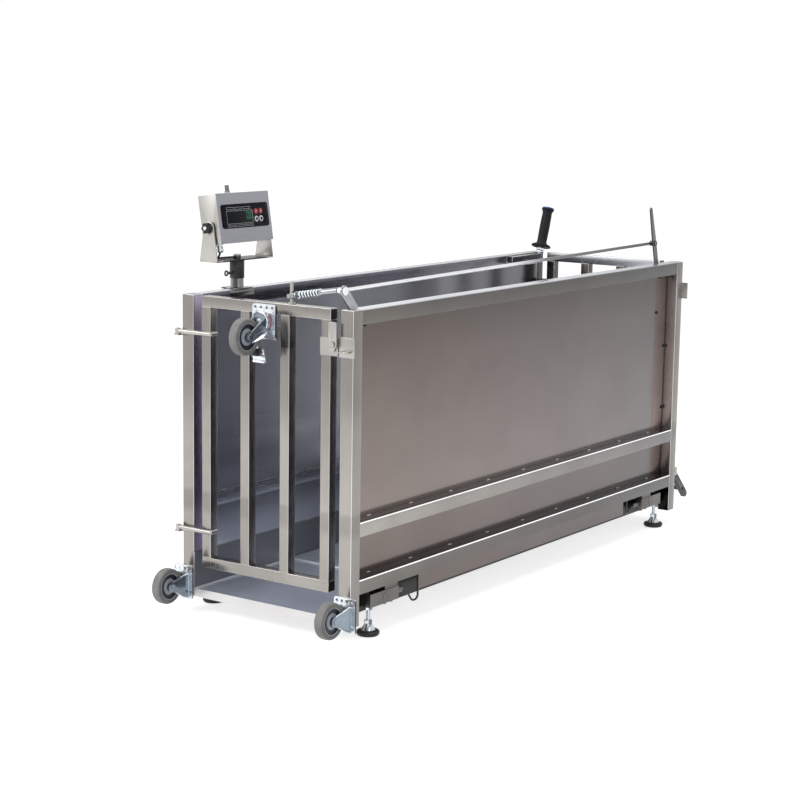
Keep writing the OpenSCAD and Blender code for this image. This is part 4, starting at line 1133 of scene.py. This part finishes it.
class CRATE_OT_spring(Step, bpy.types.Operator):
    """Wind the coil spring of the gate strut."""

    bl_idname = "crate.spring"
    bl_label = "Strut spring"

    def make(self):
        axis = STRUT_END - STRUT_BALL
        spot = along(STRUT_BALL, axis)
        low, high = 20.2, axis.length / MM - 58.2
        lead, turns, coil, gauge = 4.8, 7, 8.2, 2.4
        points = [Vector((coil, 0, low)), Vector((coil, 0, low + lead * 0.5))]
        steps = turns * 28
        for i in range(steps + 1):
            a = 2 * math.pi * turns * i / steps
            z = low + lead + (high - low - 2 * lead) * i / steps
            points.append(Vector((coil * math.cos(a), coil * math.sin(a), z)))
        points += [Vector((coil, 0, high - lead * 0.5)), Vector((coil, 0, high))]
        path = [spot @ (p * MM) for p in points]
        spring = wire("spring_wire", path, gauge * MM, 12)
        dress(spring, "chrome", "spring_strut", "link_steel", "strut_spring")


class CRATE_OT_cables(Step, bpy.types.Operator):
    bl_idname = "crate.cables"
    bl_label = "Lead and cables"

    # A load cell's cable: reach, straight start and outward lean in millimetres; radius of all in metres.
    SPAN, START, LEAN = 65, 6, 12
    RADIUS = 0.003

    def make(self):
        self.cable("indicator_lead", self.lead_points(), "mast", "lead")
        front_sag, rear_sag = 43, 16
        self.cell_cable("fr", 1, 1, front_sag, "cell_cables")
        self.cell_cable("fl", -1, 1, front_sag)
        self.cell_cable("rr", 1, -1, rear_sag)
        self.cell_cable("rl", -1, -1, rear_sag)

    def cell_cable(self, key, side, end, sag, *nodes):
        """The cable of one load cell; it leans outwards on its way back."""
        points = []
        for back, down in self.loop(sag):
            y = CABLE_Y + back if end > 0 else REAR - CABLE_Y - back
            out = self.LEAN * max(0, (back - self.START) / (self.SPAN - self.START))
            points.append(place(side * (CELL_X + out), y, CELL_Z - down))
        self.cable("cell_cable_" + key, points, "crate", *nodes)

    def loop(self, sag, bend=14, up=-39.5):
        """A load cell cable from its gland into the bottom rail: (along the crate, down) in millimetres."""
        span, start = self.SPAN, self.START
        dx, dy = span - bend - start, sag - 2 * bend
        dive = math.atan2(dy, dx) + math.asin(2 * bend / math.hypot(dx, dy))
        points = [(0, 0), (start, 0)]
        for k in range(1, 5):
            a = dive * k / 4
            points.append((start + bend * math.sin(a), bend * (1 - math.cos(a))))
        for k in range(9):
            a = dive - (dive + math.pi / 2) * k / 8
            points.append((span - bend - bend * math.sin(a), sag - bend + bend * math.cos(a)))
        return points + [(span, -18), (span, up)]

    @staticmethod
    def lead_points():
        """Route of the indicator lead from its gland over the bracket base to the inlet."""
        drop = 60.9
        top = TILT_AXIS + Vector((drop * math.sin(TILT_BACK), -86, -drop * math.cos(TILT_BACK))) * MM
        points = [top]
        for step in ((1, -0.2, -6), (0.5, -0.8, -12.5), (-2.5, -1, -19.5)):
            points.append(top + Vector(step) * MM)
        x, y = MAST
        low = BASE_TOP + 4
        route = [(1.5, -85, 3.2), (-4, -79.5, 0.6), (-7.5, -71, 0), (-8.5, -60, 0), (-8, -48, 0)]
        route += [(-6, -36, 0), (-3, -25, 0), (-1.2, -17, 0), (-0.8, -11.5, 0)]
        return points + [place(x + dx, y + dy, low + dz) for dx, dy, dz in route]

    def cable(self, name, corners, body, *nodes):
        """One round cable through the corners."""
        path = self.rounded(corners)
        obj = wire(name, path, self.RADIUS, 12)
        dress(obj, "cable", body, "cable_black", *nodes)

    @staticmethod
    def rounded(corners, steps=5):
        """A smooth line through the corners."""
        path = []
        for i in range(len(corners) - 1):
            a, b = corners[max(i - 1, 0)], corners[i]
            c, d = corners[i + 1], corners[min(i + 2, len(corners) - 1)]
            for k in range(steps):
                t = k / steps
                square = 2 * a - 5 * b + 4 * c - d
                cube = 3 * b - a - 3 * c + d
                path.append(0.5 * (2 * b + (c - a) * t + square * t * t + cube * t**3))
        return path + [corners[-1]]


class CRATE_OT_welds(Step, bpy.types.Operator):
    """Set stitch welds along the side sheets, white lines of painted highlight on the floor and beads at the
    joints of the gates.
    """

    bl_idname = "crate.welds"
    bl_label = "Welds"

    def make(self):
        r = sizes().weld_spot / MM
        profile = [(r, 0), (r * 0.92, r * 0.2), (r * 0.6, r * 0.42), (r * 0.2, r * 0.5)]
        seed = turned("weld_seed", profile, steps=10)
        self.stitches(seed)
        self.floor_seams()
        self.gate_beads(seed)
        bpy.data.objects.remove(seed)

    @staticmethod
    def stitches(seed):
        """Long flat welds on the shelves of the rails, at the foot of the sheets."""
        flat = Matrix.Diagonal((0.8, 2.2, 1, 1))
        welds = []
        for rail in (LOW_RAIL, MID_RAIL):
            y = 130
            while y < REAR - 100:
                for side in (1, -1):
                    spot = place(side * (SHEET_X + 1), y, rail)
                    welds.append(copied(seed, Matrix.Translation(spot) @ flat))
                y += sizes().weld_pitch / MM
        dress(joined("stitch_welds", welds), "weld", "crate", "sheet_steel")

    @staticmethod
    def floor_seams():
        """White lines along the sides of the floor tray and before the tread plate: painted highlights on the
        tray's bends and the plate's front edge.
        """
        plate_y, plate_x, plate_z = 430.4, 246, 66.4
        tray_x, tray_z, inset = 249.6, 66, 4
        # Painted highlight: thin white wires where light catches the floor's edges.
        ends = [place(-plate_x, plate_y, plate_z), place(plate_x, plate_y, plate_z)]
        seams = [wire("seam", ends, 0.0026, 8)]
        for x in (tray_x, -tray_x):
            ends = [place(x, inset, tray_z), place(x, REAR - inset, tray_z)]
            seams.append(wire("seam", ends, 0.0024, 8))
        dress(joined("floor_seams", seams), "white_seam", "crate", "sheet_steel")

    @staticmethod
    def gate_beads(seed):
        """Rows of small beads where the bars of the gates meet their rails."""
        small = Matrix.Diagonal((0.5, 0.42, 0.42, 1))
        half, step = GATE_TUBE / 2, 3
        for body, y in (("front_gate", GATE_Y), ("rear_gate", REAR - GATE_Y)):
            beads = []
            for z in (GATE_RAILS[0] + half, GATE_RAILS[1] - half):
                for x in GATE_BARS:
                    for out in (-1, 1):
                        for k in range(-4, 5):
                            spot = place(x + k * step, y + out * half, z)
                            beads.append(copied(seed, along(spot, (0, out, 0)) @ small))
            dress(joined(body + "_beads", beads), "weld", body, "frame_steel")


class CRATE_OT_small_fittings(Step, bpy.types.Operator):
    """Add end plugs, bolts, glands and caps of the load cells and details of the swivel caster."""

    bl_idname = "crate.small_fittings"
    bl_label = "Small fittings"

    def make(self):
        self.plugs()
        self.sheet_bolts()
        self.cell_details()
        self.swivel_details()

    @staticmethod
    def plugs():
        """Black plugs in the open ends of the gate rails."""
        inner, outer, half = 216, 223.4, 13.3
        for body, y in (("front_gate", GATE_Y), ("rear_gate", REAR - GATE_Y)):
            plugs = []
            for z in GATE_RAILS:
                for low, high in ((inner, outer), (-outer, -inner)):
                    plug = block("plug", (low, -half, -half), (high, half, half), 1.2)
                    plugs.append(moved(plug, Matrix.Translation(place(0, y, z))))
            dress(joined(body + "_plugs", plugs), "knob", body, "knob_black")

    @staticmethod
    def sheet_bolts():
        """Dark bolts at the upper corners of the side sheets and down their rear ends."""
        head = [(5.6, 0), (5.6, 2.4), (4.8, 3.6), (2.6, 4.2), (0.8, 4.3)]
        spots = [(103, 850), (REAR - 92, 850), (REAR - 106, 731), (REAR - 46, 613), (REAR - 46, 402)]
        bolts = []
        for side in (1, -1):
            for y, z in spots:
                bolt = turned("bolt", head, steps=20)
                bolts.append(moved(bolt, along(place(side * SHEET_X, y, z), (side, 0, 0))))
        dress(joined("sheet_bolts", bolts), "knob", "crate", "knob_black")

    @staticmethod
    def cell_details():
        """Cable glands and sealing caps of the load cells."""
        hexes = [(3.2, 0), (10.4, 0), (11.9, 1.2), (11.9, 8.8), (10.4, 10), (3.2, 10)]
        dome = [(3.2, 10), (9.2, 10), (10, 11), (10, 20), (9.4, 21), (9.4, 24), (10, 25), (10, 29)]
        dome += [(8, 32.4), (5, 34), (3.2, 34)]
        cap = [(13.4, 0), (13.4, 0.5), (12.2, 0.9), (10.6, 0.9), (10, 0.5), (4, 0.5)]
        glands, caps = [], []
        for x in (CELL_X, -CELL_X):
            for y, end in ((GLAND_Y, 1), (REAR - GLAND_Y, -1)):
                spot = along(place(x, y, CELL_Z), (0, end, 0))
                glands.append(moved(hexagon("hex", hexes, True), spot))
                glands.append(moved(turned("dome", dome, True, 32), spot))
                for side in (1, -1):
                    face = along(place(x + side * 17, y - end * 62, CELL_Z), (side, 0, 0))
                    caps.append(moved(turned("cap", cap, steps=48), face))
        dress(joined("cell_gland_bodies", glands), "dark_steel", "crate", "cell_metal", "cell_glands")
        dress(joined("cell_caps", caps), "cell", "crate", "cell_metal")

    @staticmethod
    def swivel_details():
        """Red seal, rolled crown, brake block and steps of the pedal of the swivel caster."""
        seal = turned("swivel_seal", [(25.1, 0), (26.8, 0.6), (26.8, 4.4), (25.1, 5)], True, 64)
        dress(moved(seal, along(place(0, -6.3, SWIVEL_Z), (0, -1, 0))), "red_mark", "front_gate", "zinc")
        radius, start, sweep, steps = 27.5, math.radians(-28), math.radians(236), 24
        crown = []
        for k in range(steps + 1):
            a = start + sweep * k / steps
            crown.append(place(radius * math.cos(a), -25, SWIVEL_Z + radius * math.sin(a)))
        dress(wire("swivel_crown_roll", crown, 0.0021, 8), "chrome", "swivel", "zinc")
        shoe = block("brake_block", (-12, -47, 757), (12, -33.2, 777), 2)
        dress(moved(shoe, Matrix.Translation(place(0, 0, 0))), "knob", "brake", "knob_black")
        lean, half = math.radians(16), 20
        treads = []
        for down in (17, 34):
            y, z = -34.5 + down * math.sin(lean), 772 - down * math.cos(lean)
            treads.append(wire("step", [place(-half, y, z), place(half, y, z)], 0.0034, 12))
        dress(joined("pedal_steps", treads), "zinc", "brake", "zinc")


class CRATE_OT_studio(Step, bpy.types.Operator):
    """Set the pale floor, the soft light and the camera."""

    bl_idname = "crate.studio"
    bl_label = "Studio"

    FLOOR_GLOW = 0.66
    SOFT_LIGHT = 0.45

    def make(self):
        self.camera()
        self.floor()
        self.world()
        self.lamp("key", place(-2600, -3200, 3600), 3.2, 95)
        self.lamp("fill", place(3600, -1600, 2600), 2.6, 20)
        self.lamp("top", place(0, 900, 4200), 3.6, 60)
        bpy.context.scene.view_settings.view_transform = "Standard"

    @staticmethod
    def camera():
        """The photograph's viewpoint, found from its straight edges."""
        azimuth, elevation, roll = (math.radians(a) for a in (35.02, 9.52, 0.88))
        focal_px, image_px = 1932.9, 800
        back = Vector(
            (
                math.sin(azimuth) * math.cos(elevation),
                -math.cos(azimuth) * math.cos(elevation),
                math.sin(elevation),
            )
        )
        level = Vector((math.cos(azimuth), math.sin(azimuth), 0))
        rise = back.cross(level)
        right = level * math.cos(roll) + rise * math.sin(roll)
        up = rise * math.cos(roll) - level * math.sin(roll)
        data = bpy.data.cameras.new("photo_camera")
        data.sensor_width = 36
        data.lens = focal_px / image_px * data.sensor_width
        data.clip_end = 100
        obj = bpy.data.objects.new("photo_camera", data)
        bpy.context.scene.collection.objects.link(obj)
        spot = place(3258.6, -4013.4, 1502.2)
        obj.matrix_world = Matrix((right, up, back)).transposed().to_4x4()
        obj.location = spot
        bpy.context.scene.camera = obj

    def floor(self):
        """A pale floor that is white where no shadow falls."""
        pick_none()
        bpy.ops.mesh.primitive_circle_add(vertices=96, radius=40, fill_type="NGON")
        obj = bpy.context.object
        obj.name = "studio_floor"
        moved(obj, Matrix.Translation((0, 0, -0.0006)))
        mat = bpy.data.materials.new("studio_floor")
        mat.use_nodes = True
        nodes, links = mat.node_tree.nodes, mat.node_tree.links
        shader = nodes["Principled BSDF"]
        shader.inputs["Base Color"].default_value = (0.82, 0.82, 0.82, 1)
        shader.inputs["Roughness"].default_value = 0.9
        shader.inputs["Emission Color"].default_value = (1, 1, 1, 1)
        seen = seen_rays(nodes, links)
        glow = nodes.new("ShaderNodeMath")
        glow.operation = "MULTIPLY"
        glow.inputs[1].default_value = self.FLOOR_GLOW
        links.new(seen, glow.inputs[0])
        links.new(glow.outputs[0], shader.inputs["Emission Strength"])
        obj.data.materials.append(mat)

    def world(self):
        """White where it is seen, softer where it lights."""
        world = bpy.data.worlds.new("studio")
        bpy.context.scene.world = world
        world.use_nodes = True
        nodes, links = world.node_tree.nodes, world.node_tree.links
        shader = nodes["Background"]
        shader.inputs["Color"].default_value = (1, 1, 1, 1)
        seen = seen_rays(nodes, links)
        level = nodes.new("ShaderNodeMapRange")
        level.inputs["To Min"].default_value = self.SOFT_LIGHT
        level.inputs["To Max"].default_value = 1.0
        links.new(seen, level.inputs["Value"])
        links.new(level.outputs["Result"], shader.inputs["Strength"])

    @staticmethod
    def lamp(name, spot, size, power):
        data = bpy.data.lights.new(name, "AREA")
        data.shape = "DISK"
        data.size = size
        data.energy = power
        obj = bpy.data.objects.new(name, data)
        bpy.context.scene.collection.objects.link(obj)
        aim = place(0, 900, 450) - spot
        obj.matrix_world = Matrix.Translation(spot) @ aim.to_track_quat("-Z", "Y").to_matrix().to_4x4()


def seen_rays(nodes, links):
    """1 for rays from the camera, and for what metal and glass show."""
    path = nodes.new("ShaderNodeLightPath")
    first = nodes.new("ShaderNodeMath")
    first.operation = "MAXIMUM"
    links.new(path.outputs["Is Camera Ray"], first.inputs[0])
    links.new(path.outputs["Is Glossy Ray"], first.inputs[1])
    second = nodes.new("ShaderNodeMath")
    second.operation = "MAXIMUM"
    links.new(first.outputs[0], second.inputs[0])
    links.new(path.outputs["Is Transmission Ray"], second.inputs[1])
    return second.outputs[0]


STEPS = (
    CRATE_OT_studio,
    CRATE_OT_finish_nodes,
    CRATE_OT_cables,
    CRATE_OT_rounded_steel,
    CRATE_OT_wheels,
    CRATE_OT_fork_lips,
    CRATE_OT_feet,
    CRATE_OT_indicator,
    CRATE_OT_grip,
    CRATE_OT_spring,
    CRATE_OT_welds,
    CRATE_OT_small_fittings,
)


class CRATE_PT_dresser(bpy.types.Panel):
    """Lists the crate's settings and pieces in the sidebar."""

    bl_label = "Weighing crate"
    bl_space_type = "VIEW_3D"
    bl_region_type = "UI"
    bl_category = "Crate"

    def draw(self, context):
        for group in (context.scene.crate_finishes, context.scene.crate_sizes):
            for key in group.__annotations__:
                self.layout.prop(group, key)
        for step in STEPS:
            self.layout.operator(step.bl_idname)


CLASSES = (CrateFinishes, CrateSizes, *STEPS, CRATE_PT_dresser)


def register():
    for cls in CLASSES:
        bpy.utils.register_class(cls)
    bpy.types.Scene.crate_finishes = PointerProperty(type=CrateFinishes)
    bpy.types.Scene.crate_sizes = PointerProperty(type=CrateSizes)


def unregister():
    del bpy.types.Scene.crate_sizes
    del bpy.types.Scene.crate_finishes
    for cls in reversed(CLASSES):
        bpy.utils.unregister_class(cls)


def main():
    """Makes every piece in order."""
    register()
    for step in STEPS:
        group, name = step.bl_idname.split(".")
        getattr(getattr(bpy.ops, group), name)()
    pick_none()


if __name__ == "__main__":
    main()
